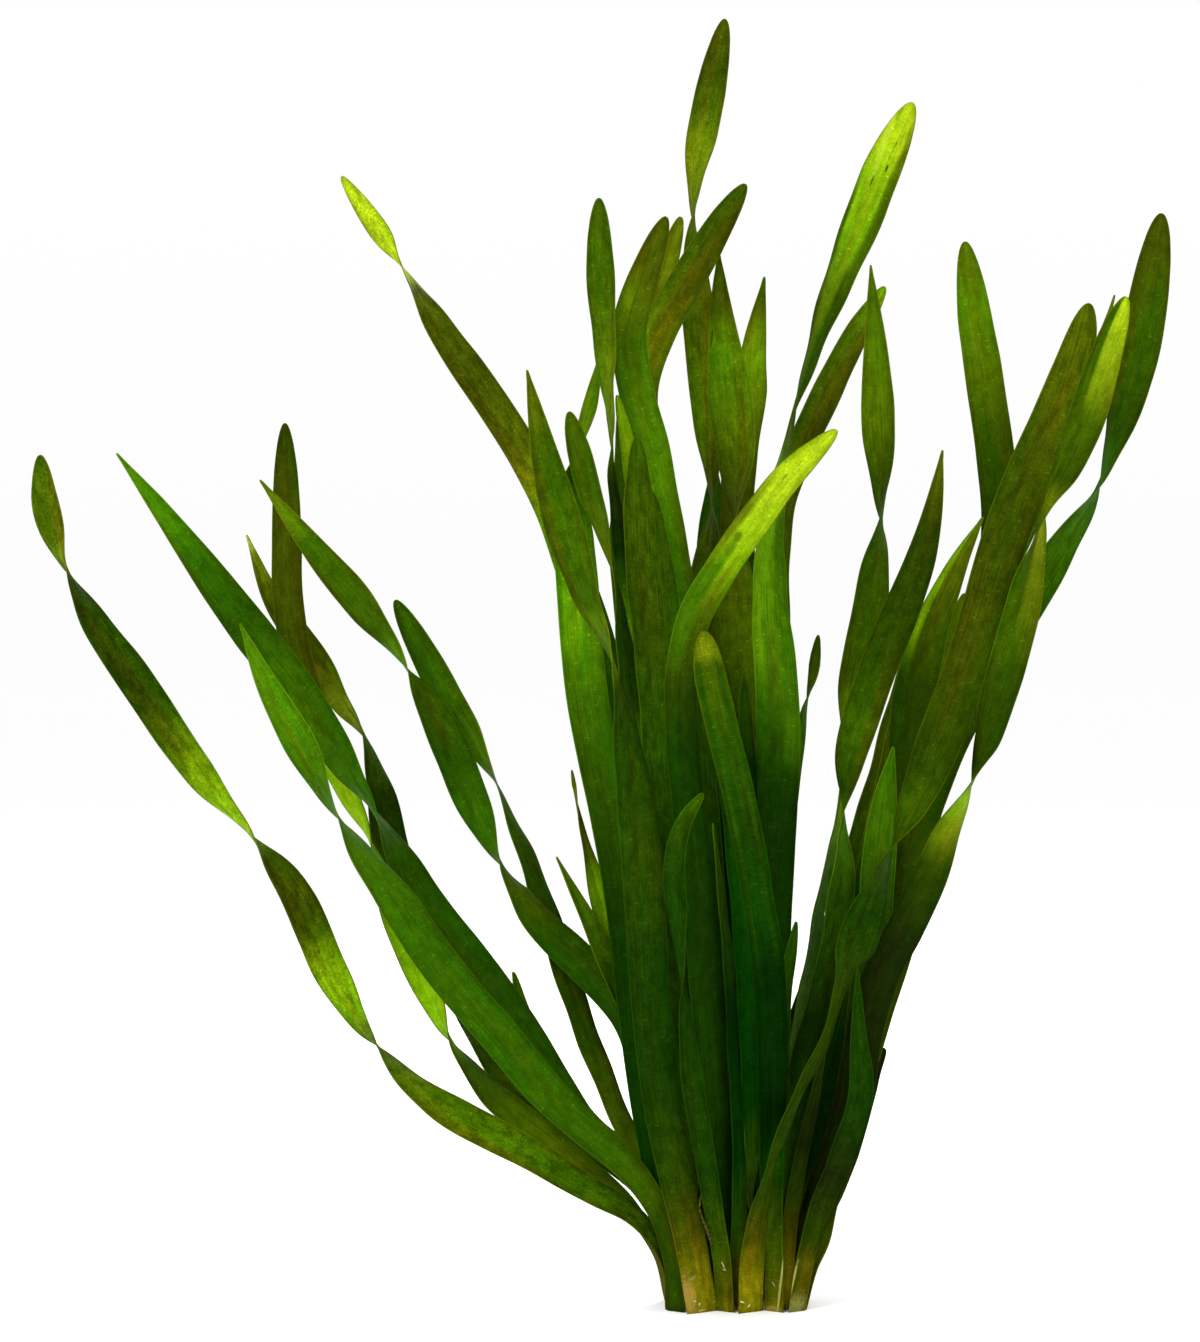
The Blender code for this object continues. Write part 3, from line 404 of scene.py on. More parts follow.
FOOT = ((0, STRAW), (7, STRAW), (22, FOOT_OLIVE))
FADED_FOOT = ((0, STRAW), (3, FOOT_OLIVE), (20, OLIVE))
DIM_FOOT = ((0, FOOT_OLIVE), (14, FOOT_OLIVE))
# Painted light and shade: the dark stops low in the clump's heart paint its shade, and the bright stops at
# twists and tips paint the light on and through them.
LEAF_TONES_AND_PAINTED_LIGHT = {
    "leaf_front_left_1": ((0, DARK_OLIVE), (24, DARK_OLIVE), (36, OLIVE), (50, GREEN), (110, GREEN),
                          (138, MEADOW), (165, MEADOW), (190, FRESH), (206, MEADOW)),
    "leaf_front_left_2": FOOT + ((40, DARK_OLIVE), (70, SHADE), (105, SHADE), (135, DARK_OLIVE),
                                 (165, DEEP), (186, DARK_OLIVE), (191, SPRING), (204, SPRING),
                                 (210, OLIVE), (250, OLIVE), (268, TAN), (282, TAN)),
    "leaf_front_left_3": DIM_FOOT + ((40, SHADE), (140, LIME), (165, LIME), (180, GREEN), (205, GREEN),
                                     (222, SPRING), (245, OLIVE), (262, OLIVE), (270, SPRING)),
    "leaf_front_left_4": DIM_FOOT + ((40, SHADE), (60, DEEP), (110, DEEP), (126, SPRING), (140, GREEN),
                                     (165, DEEP), (184, OLIVE), (194, FRESH), (202, OLIVE), (228, OLIVE),
                                     (242, GOLD), (249, TAN)),
    "leaf_front_left_5": DIM_FOOT + ((20, OLIVE), (40, OLIVE), (60, SPRING), (82, SPRING), (89, LIME),
                                     (98, BRIGHT), (112, OLIVE), (124, BROWN), (136, OLIVE),
                                     (143, BRIGHT), (153, BRIGHT), (168, SPRING), (180, DARK_OLIVE),
                                     (217, DARK_OLIVE), (223, GOLD), (230, TAN), (243, TAN),
                                     (256, OLIVE)),
    "leaf_front_left_6": DIM_FOOT + ((60, GREEN), (90, GREEN), (115, DEEP), (140, DEEP), (165, GREEN),
                                     (200, OLIVE), (262, OLIVE)),
    "leaf_front_left_7": DIM_FOOT + ((50, DEEP), (95, MEADOW), (112, BRIGHT), (128, BRIGHT), (140, GOLD),
                                     (162, TAN)),
    "leaf_front_left_8": DIM_FOOT + ((40, POND), (110, SHADE), (140, DEEP), (165, GREEN), (182, MEADOW),
                                     (205, FRESH), (225, MEADOW), (244, GREEN), (264, SPRING),
                                     (288, SPRING)),
    "leaf_front_left_9": DIM_FOOT + ((50, SHADE), (85, SHADE), (105, OLIVE), (125, SPRING), (136, GOLD)),
    "leaf_front_middle_1": FADED_FOOT + ((38, SHADE), (95, SHADE), (130, SHADE), (146, DEEP),
                                         (155, GREEN)),
    "leaf_front_middle_2": FOOT + ((36, DARK_OLIVE), (60, DARK_OLIVE), (100, DARK_OLIVE), (118, SHADE),
                                   (136, DARK_OLIVE), (150, OLIVE), (164, DARK_OLIVE), (200, BROWN),
                                   (245, BROWN), (266, TAN), (290, TAN), (302, BROWN)),
    "leaf_front_middle_3": DIM_FOOT + ((24, MEADOW), (44, FRESH), (60, LAGOON), (130, LAGOON),
                                       (150, SHADE), (182, SHADE)),
    "leaf_front_middle_4": DIM_FOOT + ((40, SHADE), (130, DEEP), (165, GREEN), (200, OLIVE),
                                       (222, MEADOW), (245, FRESH), (268, FRESH), (286, MEADOW),
                                       (303, TAN), (328, BROWN)),
    "leaf_front_middle_5": DIM_FOOT + ((40, SHADE), (150, SHADE), (200, GREEN), (225, OLIVE),
                                       (246, OLIVE)),
    "leaf_front_middle_6": DIM_FOOT + ((20, GREEN), (45, POND), (90, NIGHT), (108, SHADE), (130, DEEP),
                                       (146, GREEN)),
    "leaf_front_middle_7": DIM_FOOT + ((40, NIGHT), (160, NIGHT), (185, DARK_OLIVE)),
    "leaf_front_middle_8": DIM_FOOT + ((40, SHADE), (200, OLIVE), (232, SPRING), (246, LIME),
                                       (260, BRIGHT), (274, BRIGHT)),
    "leaf_front_middle_9": DIM_FOOT + ((20, NIGHT), (60, SHADE), (120, SHADE), (165, SHADE),
                                       (184, DARK_OLIVE), (200, OLIVE), (210, SPRING), (224, BRIGHT),
                                       (240, YELLOW), (264, YELLOW)),
    "leaf_front_right_1": FADED_FOOT + ((38, SHADE), (46, POND), (60, NIGHT), (104, NIGHT), (122, POND),
                                        (144, SHADE), (168, DEEP), (182, OLIVE), (191, OLIVE),
                                        (195, GOLD), (204, GOLD)),
    "leaf_front_right_2": DIM_FOOT + ((22, DARK_OLIVE), (40, PEAT), (66, SHADE), (103, SHADE)),
    "leaf_front_right_3": DIM_FOOT + ((20, BROWN), (40, PEAT), (112, PEAT), (134, DARK_OLIVE),
                                      (144, GOLD), (153, BRIGHT), (161, DARK_OLIVE), (190, DARK_OLIVE),
                                      (206, TAN), (226, GOLD), (236, GOLD), (244, DARK_OLIVE),
                                      (260, OLIVE), (268, GOLD), (296, YELLOW)),
    "leaf_front_right_4": DIM_FOOT + ((26, BROWN), (42, NIGHT), (78, NIGHT), (120, DARK_OLIVE),
                                      (200, DARK_OLIVE), (225, GREEN), (248, GREEN), (262, DARK_OLIVE),
                                      (292, OLIVE), (310, BROWN), (329, BROWN)),
    "leaf_front_right_5": DIM_FOOT + ((40, SHADE), (155, SHADE), (170, DEEP), (184, MEADOW), (205, FRESH),
                                      (228, LIME), (240, LIME), (256, OLIVE), (285, OLIVE), (302, SPRING),
                                      (318, LIME), (334, BRIGHT), (350, YELLOW), (362, YELLOW)),
    "leaf_front_right_6": FOOT + ((36, DARK_OLIVE), (50, PEAT), (84, DARK_OLIVE)),
    "leaf_front_right_7": DIM_FOOT + ((30, PEAT), (80, PEAT), (120, DEEP), (140, MEADOW), (168, MEADOW)),
    "leaf_front_right_8": DIM_FOOT + ((28, OLIVE), (50, SHADE), (85, SHADE), (105, DEEP), (125, GREEN),
                                      (134, FRESH), (144, FRESH), (156, DARK_OLIVE), (175, OLIVE),
                                      (200, DARK_OLIVE), (230, DARK_OLIVE), (246, TAN), (258, TAN)),
    "leaf_front_right_9": DIM_FOOT + ((40, SHADE), (80, DEEP), (116, GREEN)),
    "leaf_back_left_1": DIM_FOOT + ((30, OLIVE), (60, OLIVE), (150, DARK_OLIVE), (168, OLIVE),
                                    (178, GOLD), (195, TAN), (212, BROWN), (226, GOLD), (232, PALE)),
    "leaf_back_left_2": DIM_FOOT + ((40, SHADE), (200, DEEP), (240, DARK_OLIVE), (275, OLIVE)),
    "leaf_back_left_3": DIM_FOOT + ((40, SHADE), (190, LIME), (206, LIME), (225, DEEP), (246, DARK_OLIVE),
                                    (262, SPRING), (282, SPRING), (300, OLIVE), (334, OLIVE)),
    "leaf_back_left_4": DIM_FOOT + ((40, GOLD), (80, OLIVE), (108, DARK_OLIVE), (126, GREEN),
                                    (150, MEADOW), (163, FRESH), (178, GREEN), (213, GREEN)),
    "leaf_back_left_5": DIM_FOOT + ((20, DARK_OLIVE), (45, SPRING), (70, OLIVE), (83, BRIGHT),
                                    (110, BRIGHT), (128, LIME), (142, BRIGHT), (164, BRIGHT), (181, TAN),
                                    (198, BROWN), (240, BROWN), (266, DARK_OLIVE)),
    "leaf_back_left_6": DIM_FOOT + ((40, SHADE), (160, SHADE), (215, DEEP), (236, LIME), (252, GOLD),
                                    (264, TAN), (285, BROWN), (312, TAN), (317, YELLOW), (340, YELLOW)),
    "leaf_back_left_7": DIM_FOOT + ((40, SHADE), (250, DEEP), (270, DARK_OLIVE), (300, BROWN),
                                    (312, GOLD), (327, GOLD)),
    "leaf_back_left_8": DIM_FOOT + ((30, OLIVE), (70, DEEP), (112, DEEP), (140, GREEN), (190, GREEN),
                                    (206, DEEP), (226, GREEN), (246, FRESH), (257, FRESH)),
    "leaf_back_left_9": DIM_FOOT + ((40, SHADE), (76, FRESH), (88, FRESH), (102, GREEN)),
    "leaf_back_middle_1": DIM_FOOT + ((40, SHADE), (225, DEEP)),
    "leaf_back_middle_2": DIM_FOOT + ((40, SHADE), (215, DEEP)),
    "leaf_back_middle_3": DIM_FOOT + ((40, SHADE), (200, DEEP), (246, TAN), (266, GOLD), (286, BRIGHT),
                                      (303, TAN), (310, OLIVE)),
    "leaf_back_middle_4": DIM_FOOT + ((40, SHADE), (170, OLIVE), (202, SPRING), (242, BROWN),
                                      (262, SPRING), (286, FRESH), (302, TAN), (318, OLIVE)),
    "leaf_back_middle_5": DIM_FOOT + ((40, SHADE), (230, DEEP), (272, SPRING), (286, GOLD), (300, TAN),
                                      (322, BROWN), (338, BROWN)),
    "leaf_back_middle_6": DIM_FOOT + ((40, SHADE), (190, SPRING), (210, SPRING), (248, BROWN),
                                      (264, SPRING), (282, SPRING), (292, TAN), (306, TAN), (332, TAN),
                                      (352, GOLD), (364, TAN), (374, BROWN), (388, BROWN)),
    "leaf_back_middle_7": DIM_FOOT + ((40, SHADE), (85, GREEN), (125, GREEN), (160, TAN), (210, OLIVE)),
    "leaf_back_middle_8": DIM_FOOT + ((40, SHADE), (240, DEEP)),
    "leaf_back_middle_9": DIM_FOOT + ((40, SHADE), (165, DEEP)),
    "leaf_back_right_1": DIM_FOOT + ((40, SHADE), (180, OLIVE), (215, TAN)),
    "leaf_back_right_2": DIM_FOOT + ((40, SHADE), (180, DEEP), (196, SPRING), (208, SPRING),
                                     (235, DARK_OLIVE), (262, OLIVE), (284, SPRING), (304, FRESH),
                                     (320, SPRING)),
    "leaf_back_right_3": DIM_FOOT + ((20, BROWN), (44, PEAT), (79, PEAT)),
    "leaf_back_right_4": DIM_FOOT + ((30, BROWN), (120, DARK_OLIVE), (182, DARK_OLIVE), (200, OLIVE),
                                     (215, TAN), (238, GOLD)),
    "leaf_back_right_5": DIM_FOOT + ((40, SHADE), (200, OLIVE), (245, TAN), (264, BROWN), (296, TAN),
                                     (307, BRIGHT)),
    "leaf_back_right_6": DIM_FOOT + ((40, SHADE), (200, OLIVE), (270, BROWN), (292, TAN), (304, GOLD)),
    "leaf_back_right_7": DIM_FOOT + ((40, SHADE), (122, SHADE), (142, OLIVE), (165, TAN), (194, SPRING)),
    "leaf_back_right_8": DIM_FOOT + ((30, SHADE), (85, MEADOW), (105, GREEN), (130, MEADOW),
                                     (150, BRIGHT), (170, BRIGHT), (186, OLIVE), (226, OLIVE),
                                     (248, OLIVE), (266, SPRING), (286, SPRING), (313, TAN)),
    "leaf_back_right_9": DIM_FOOT + ((40, SHADE), (140, GREEN), (160, MEADOW), (176, GREEN), (190, OLIVE),
                                     (202, DEEP)),
}
print(len(LEAF_TONES_AND_PAINTED_LIGHT), "leaves have their tones")

# %% [markdown]
# ## The surface of a leaf
#
# Close up, a leaf shows fine lines along its length, faint cross veins between them, and short pale ticks
# and dots where the tissue has thinned. Thin yellow parts are speckled with brown. All of these follow the
# blade, so the material reads the place on the leaf from the attribute, in millimetres across and along. Each
# layer has a function that adds its nodes, and each of the five kinds of leaf gets its own strengths.

# %% A few helpers for shader nodes


class Graph:
    """Adds and joins the nodes of one material."""

    def __init__(self, name):
        self.material = bpy.data.materials.new(name)
        self.material.use_nodes = True
        self.nodes = self.material.node_tree.nodes
        self.links = self.material.node_tree.links
        self.shader = self.nodes["Principled BSDF"]

    def put(self, value, socket):
        """Joins the value to the socket if it is one itself, and otherwise sets it there."""
        if isinstance(value, bpy.types.NodeSocket):
            self.links.new(value, socket)
        else:
            socket.default_value = value

    def add(self, kind, values=(), **settings):
        """A new node with these settings, and these values at its inputs."""
        node = self.nodes.new(kind)
        for name, setting in settings.items():
            setattr(node, name, setting)
        for key, value in dict(values).items():
            self.put(value, node.inputs[key])
        return node

    def math(self, operation, a, b=0.0):
        return self.add("ShaderNodeMath", {0: a, 1: b}, operation=operation).outputs[0]

    def ramp(self, value, low, high, to_low=0.0, to_high=1.0):
        """The value spread from low..high onto to_low..to_high, with soft ends."""
        node = self.add("ShaderNodeMapRange", {"Value": value, "From Min": low, "From Max": high,
                                               "To Min": to_low, "To Max": to_high},
                        interpolation_type="SMOOTHSTEP")
        return node.outputs["Result"]

    def mix(self, share, a, b, blend="MIX"):
        """Colours a and b. The node keeps them in its inputs 6 and 7, and their mix in its output 2."""
        node = self.nodes.new("ShaderNodeMix")
        node.data_type = "RGBA"
        node.blend_type = blend
        self.put(share, node.inputs["Factor"])
        for key, value in ((6, a), (7, b)):
            self.put((*value, 1) if isinstance(value, tuple) else value, node.inputs[key])
        return node.outputs[2]

    def stretch(self, vector, x, y, shift=0.0):
        """The place on the leaf, scaled across and along, and shifted to another stretch of a pattern."""
        node = self.add("ShaderNodeMapping", {"Vector": vector, "Scale": (x, y, 0),
                                              "Location": (shift, shift, 0)})
        return node.outputs[0]

    def noise(self, vector, scale=1.0, detail=2.0, roughness=0.5):
        node = self.add("ShaderNodeTexNoise", {"Vector": vector, "Scale": scale, "Detail": detail,
                                               "Roughness": roughness})
        return node.outputs["Fac"]

    def pattern(self, vector, x, y, shift=0.0, detail=2.0, roughness=0.5):
        """Noise that repeats about x times a millimetre across the leaf and y times along it."""
        return self.noise(self.stretch(vector, x, y, shift), detail=detail, roughness=roughness)

    def cells(self, vector):
        """Scattered points: the distance to the nearest, and a random number for each."""
        node = self.add("ShaderNodeTexVoronoi", {"Vector": vector, "Scale": 1.0}, voronoi_dimensions="2D")
        red = self.add("ShaderNodeSeparateColor", {0: node.outputs["Color"]}).outputs[0]
        return node.outputs["Distance"], red


# %% Bands, clouds, grain and streaks

# Each factor multiplies the tone under it.
GREENER = (0.84, 1.08, 0.85)
BROWNER = (1.10, 0.84, 0.90)
DARKER = (0.58, 0.62, 0.60)
LIGHTER = (1.50, 1.36, 1.70)
THIN = (2.30, 1.85, 2.20)
BANDS = dict(x=0.17, y=0.012, detail=1)
BROAD_CLOUDS = dict(x=0.14, y=0.045, shift=21, detail=1)
CLOUDS = dict(x=0.42, y=0.20, shift=5, detail=3, roughness=0.6)
GRAIN = dict(x=1.7, y=1.0, shift=9, detail=4, roughness=0.7)
STREAKS = dict(x=2.1, y=0.04, shift=13, detail=3)


def clouded(g, colour, place, redness, veins, mottle):
    """The tone with its bands, clouds, grain and streaks, and the last three patterns by themselves."""
    bands = g.pattern(place, **BANDS)
    broad = g.pattern(place, **BROAD_CLOUDS)
    clouds = g.pattern(place, **CLOUDS)
    grain = g.pattern(place, **GRAIN)
    streaks = g.pattern(place, **STREAKS)
    in_deep_green = g.ramp(redness, 0.06, 0.20, 1.0, 0.15)
    # Each layer: its pattern, the values at which it starts and is full, its strength and its factor.
    layers = (
        (bands, 0.47, 0.37, in_deep_green, GREENER),
        (bands, 0.53, 0.63, in_deep_green, BROWNER),
        (broad, 0.50, 0.62, 0.7 * mottle, DARKER),
        (clouds, 0.50, 0.62, 0.9 * mottle, DARKER),
        (clouds, 0.49, 0.38, 0.8 * mottle, LIGHTER),
        (grain, 0.50, 0.62, 0.8 * mottle, DARKER),
        (grain, 0.49, 0.39, 0.7 * mottle, LIGHTER),
        (streaks, 0.51, 0.64, 0.4 * veins, LIGHTER),
        (streaks, 0.49, 0.36, 0.4 * veins, DARKER),
    )
    for pattern, start, full, strength, factor in layers:
        colour = g.mix(g.math("MULTIPLY", g.ramp(pattern, start, full), strength), colour, factor, "MULTIPLY")
    return colour, clouds, grain, streaks


# %% Veins, ticks and dots

# The veins follow a wave across the leaf: this many radians a millimetre, and this low in the wave.
VEIN_WAVE = 1.35
VEIN_WIDTH = 0.16
VEIN_STRENGTH = 0.22
MIDRIB_STRENGTH = 0.25
# Ticks and dots stand on a few of the scattered points, of which x and y come to a millimetre across and
# along. A slow noise bends the rows of ticks, by up to TICK_BEND millimetres.
TICKS = dict(x=0.42, y=2.4)
DOTS = dict(x=0.75, y=0.5, shift=11)
TICK_BEND = 2.2
BEND_NOISE = 0.35
# The rungs of the ladder follow a wave along the leaf, in radians a millimetre, with gaps.
RUNG_WAVE = 2.3
RUNG_GAPS = dict(x=0.5, y=1.1, shift=17)


def veined(g, colour, across, veins):
    """The colour with its main veins and its midrib, all faint, and the veins by themselves."""
    wave = g.math("ABSOLUTE", g.math("SINE", g.math("MULTIPLY", across, VEIN_WAVE)))
    vein = g.ramp(wave, 0.0, VEIN_WIDTH, 1.0, 0.0)
    midrib = g.ramp(g.math("ABSOLUTE", across), 0.1, 0.6, 1.0, 0.0)
    colour = g.mix(g.math("MULTIPLY", vein, VEIN_STRENGTH * veins), colour, DARKER, "MULTIPLY")
    colour = g.mix(g.math("MULTIPLY", midrib, MIDRIB_STRENGTH * veins), colour, LIGHTER, "MULTIPLY")
    return colour, vein


def ticked(g, colour, place, across, along, ticks, ladder):
    """Short pale ticks across the leaf and pale dots, and on one leaf the rungs of a ladder."""
    bent = g.math("ADD", along, g.math("MULTIPLY", g.noise(place, scale=BEND_NOISE), TICK_BEND))
    shifted = g.add("ShaderNodeCombineXYZ", {0: across, 1: bent}).outputs[0]
    tick_far, tick_kind = g.cells(g.stretch(shifted, **TICKS))
    tick = g.math("MULTIPLY", g.ramp(tick_far, 0.18, 0.40, 1.0, 0.0), g.ramp(tick_kind, 0.955, 0.985))
    dot_far, dot_kind = g.cells(g.stretch(place, **DOTS))
    dot = g.math("MULTIPLY", g.ramp(dot_far, 0.09, 0.16, 1.0, 0.0), g.ramp(dot_kind, 0.94, 0.97))
    colour = g.mix(g.math("MULTIPLY", g.math("MAXIMUM", tick, dot), ticks), colour, THIN, "MULTIPLY")
    if ladder:
        rung = g.ramp(g.math("SINE", g.math("MULTIPLY", bent, RUNG_WAVE)), 0.86, 1.0)
        rung = g.math("MULTIPLY", rung, g.ramp(g.pattern(place, **RUNG_GAPS), 0.46, 0.60))
        colour = g.mix(g.math("MULTIPLY", rung, ladder), colour, THIN, "MULTIPLY")
    return colour


# %% Speckles, margins and marks

SPECKS = dict(x=1.5, y=1.0, shift=3, detail=4, roughness=0.65)
SPECK_BROWN = (0.10, 0.14, 0.003)
RIM_BROWN = (0.022, 0.036, 0.001)
RIM_STRENGTH = 0.5
# The fine unevenness round a mark repeats this often in a metre.
MARK_NOISE = 900


def rimmed(g, colour, tone, place, to_margin, redness, speckle):
    """Brown speckles where the leaf is yellow, a dark margin on thin leaf, and on deep green a pale margin of
    painted light.
    """
    yellow = g.ramp(redness, 0.15, 0.45)
    specks = g.ramp(g.pattern(place, **SPECKS), 0.52, 0.64)
    specks = g.math("MULTIPLY", specks, g.math("MULTIPLY", yellow, speckle))
    colour = g.mix(specks, colour, SPECK_BROWN)
    # On deep green leaves the margin is painted light, shining through the thin edge.
    rim = g.mix(g.ramp(redness, 0.03, 0.14), g.mix(1.0, tone, THIN, "MULTIPLY"), RIM_BROWN)
    return g.mix(g.math("MULTIPLY", g.ramp(to_margin, 0.05, 0.45, 1.0, 0.0), RIM_STRENGTH), colour, rim)


def marked(g, colour, x, z, width, height, lean, tone, strength, ragged):
    """One spot, slit or fleck: its middle and size in millimetres, its lean in degrees, its colour."""
    object_place = g.add("ShaderNodeTexCoord").outputs["Object"]
    turned = g.add("ShaderNodeMapping", {"Vector": object_place, "Location": (x * MM, 0, z * MM),
                                         "Rotation": (0, math.radians(lean), 0),
                                         "Scale": (width / 2 * MM, 1, height / 2 * MM)},
                   vector_type="TEXTURE").outputs[0]
    away = g.add("ShaderNodeVectorMath", {0: turned, 1: (1, 0, 1)}, operation="MULTIPLY").outputs[0]
    away = g.add("ShaderNodeVectorMath", {0: away}, operation="LENGTH").outputs["Value"]
    uneven = g.math("MULTIPLY", g.noise(object_place, scale=MARK_NOISE, detail=3, roughness=0.7), ragged)
    inside = g.ramp(g.math("ADD", away, uneven), 0.75 + 0.3 * ragged, 1.1 + 0.7 * ragged, strength, 0.0)
    return g.mix(inside, colour, tone)


# %% The leaf material

# The leaf is matt, with a faint green sheen, and its roughness is a little uneven.
SHINE = 0.005
SHINE_TINT = (0.75, 1.0, 0.25, 1)
SMOOTHEST = -0.07
ROUGHEST = 0.10
# Veins lie low, and streaks and grain stand up, each by a share of the bump.
BUMP_HEIGHT = 0.18 * MM
BUMP_STRENGTH = 0.25
VEIN_RISE = -0.5
STREAK_RISE = 0.8
GRAIN_RISE = 0.5


def leaf_material(name, veins, ticks, speckle, roughness, mottle, ladder=0.0, marks=()):
    """veins, ticks, speckle, mottle and ladder are strengths from 0 to 1; each mark has a place."""
    g = Graph(name)
    place = g.add("ShaderNodeAttribute", attribute_name="blade").outputs["Vector"]
    tone = g.add("ShaderNodeAttribute", attribute_name="tone").outputs["Color"]
    across, along, to_margin = g.add("ShaderNodeSeparateXYZ", {0: place}).outputs
    redness = g.add("ShaderNodeSeparateColor", {0: tone}).outputs[0]
    colour, clouds, grain, streaks = clouded(g, tone, place, redness, veins, mottle)
    # Painted shade: each blade darkens over its last 2 mm towards the margins, the shading of its rounded
    # form.
    colour = g.mix(g.ramp(to_margin, 0.1, 2.2, 0.65, 0.0), colour, DARKER, "MULTIPLY")
    colour, vein = veined(g, colour, across, veins)
    colour = ticked(g, colour, place, across, along, ticks, ladder)
    colour = rimmed(g, colour, tone, place, to_margin, redness, speckle)
    for mark in marks:
        colour = marked(g, colour, *mark)
    g.put(colour, g.shader.inputs["Base Color"])
    uneven = g.ramp(clouds, 0.3, 0.7, roughness + SMOOTHEST, roughness + ROUGHEST)
    g.put(uneven, g.shader.inputs["Roughness"])
    height = g.math("ADD", g.math("MULTIPLY", vein, VEIN_RISE), g.math("MULTIPLY", streaks, STREAK_RISE))
    height = g.math("ADD", height, g.math("MULTIPLY", grain, GRAIN_RISE))
    bump = g.add("ShaderNodeBump", {"Height": height, "Strength": BUMP_STRENGTH, "Distance": BUMP_HEIGHT})
    g.put(bump.outputs[0], g.shader.inputs["Normal"])
    g.shader.inputs["Specular IOR Level"].default_value = SHINE
    g.shader.inputs["Specular Tint"].default_value = SHINE_TINT
    return g.material


KINDS = {
    "leaf_olive": dict(veins=0.9, ticks=0.85, speckle=0.5, roughness=0.50, mottle=0.60),
    "leaf_brown_olive": dict(veins=1.0, ticks=0.80, speckle=0.7, roughness=0.56, mottle=0.70),
    "leaf_deep_green": dict(veins=0.8, ticks=0.90, speckle=0.5, roughness=0.46, mottle=0.50),
    "leaf_bright_green": dict(veins=0.8, ticks=0.90, speckle=0.45, roughness=0.44, mottle=0.45),
    "leaf_yellow_green": dict(veins=0.75, ticks=0.70, speckle=0.8, roughness=0.48, mottle=0.45),
}
LEAF_MATERIALS = {slot: leaf_material(slot.replace("_", " "), **kind) for slot, kind in KINDS.items()}
print("kinds of leaf surface:", ", ".join(LEAF_MATERIALS))

# %% [markdown]
# ## What only one leaf has
#
# A few leaves carry something that the others don't: dark slits near a tip, a brown blot, a pink and cream
# scar at the foot, white flecks, or cross veins as plain as the rungs of a ladder. Each of these leaves gets
# its own copy of its surface, and each mark on it is a soft ellipse with a ragged edge, placed as seen from
# in front. Others have a band along one side that is paler or darker than the rest: the paler bands are
# painted light on the side turned towards the light, the darker ones painted shade along a fold, and the
# bands of one leaf are its ribs.

# %% Mark single leaves

SLIT = (0.018, 0.040, 0.001)
BLOT = (0.060, 0.110, 0.002)
CREAM = (0.350, 0.215, 0.048)
FLECK = (0.620, 0.600, 0.330)
SMEAR = (0.440, 0.450, 0.120)
# Each mark: its middle to the right and up, its width and height, all in millimetres, its lean in degrees,
# its colour, its strength, and how ragged its edge is.
LEAF_MARKS = {
    "leaf_front_right_1": ((10.6, 0.2, 5.5, 2.6, 0, CREAM, 0.5, 1.0),
                           (12.9, 7.5, 0.7, 18, 6, SMEAR, 0.5, 0.6),
                           (11.0, 8.2, 0.3, 2.0, -30, FLECK, 0.35, 0.4)),
    "leaf_front_right_2": ((16.0, 7.0, 0.9, 18, 14, SMEAR, 0.55, 0.6),
                           (17.4, 1.0, 5.0, 8.0, 25, SMEAR, 0.30, 2.2)),
    "leaf_front_right_5": ((39.2, 333.8, 0.6, 3.8, 22, SLIT, 0.95, 0.3),
                           (43.4, 337.2, 0.6, 2.5, 22, SLIT, 0.95, 0.3),
                           (46.2, 344.2, 0.5, 1.8, 22, BLOT, 0.6, 0.4),
                           (43.1, 346.2, 2.2, 26, 19, PALE, 0.30, 1.0)),
    "leaf_front_middle_9": ((-1.5, 228.2, 2.4, 3.4, 35, BLOT, 0.85, 1.0),
                            (-3.4, 225.2, 2.6, 5.5, 35, BLOT, 0.6, 1.4),
                            (11.6, 244.8, 0.5, 2.8, 40, BLOT, 0.7, 0.4)),
    "leaf_back_middle_4": ((-6.5, 291.4, 0.6, 5.5, 6, SLIT, 0.9, 0.4),),
    "leaf_front_left_2": ((-14.6, 4.6, 4.6, 13, -10, CREAM, 0.65, 2.2),
                          (-12.4, 3.6, 0.9, 0.4, 20, FLECK, 0.7, 0.5),
                          (-11.0, 2.6, 0.5, 1.0, 10, FLECK, 0.6, 0.5),
                          (-10.4, 0.7, 2.6, 0.4, -8, FLECK, 0.5, 0.8),
                          (-13.0, 10.5, 2.2, 0.3, -35, FLECK, 0.3, 0.6)),
    "leaf_front_middle_2": ((1.6, 3.4, 1.3, 0.5, 25, FLECK, 0.9, 0.6),
                            (3.6, 2.0, 0.5, 1.2, 40, FLECK, 0.7, 0.5)),
    "leaf_front_middle_1": ((-4.0, 14.0, 0.4, 2.2, -25, FLECK, 0.5, 0.6),
                            (-3.6, 12.6, 1.0, 0.4, 10, FLECK, 0.5, 0.5)),
}
OTHER_STRENGTHS = {
    "leaf_front_right_1": dict(ladder=0.5),
    "leaf_back_left_6": dict(speckle=1.0, mottle=0.75),
    "leaf_front_left_5": dict(mottle=0.85),
}
own_surfaces = {}
for name in sorted({*LEAF_MARKS, *OTHER_STRENGTHS}):
    strengths = {**KINDS[slot_of[name]], **OTHER_STRENGTHS.get(name, {})}
    own_surfaces[name] = leaf_material(name.replace("_", " "), marks=LEAF_MARKS.get(name, ()), **strengths)
print(len(own_surfaces), "leaves have a surface of their own")
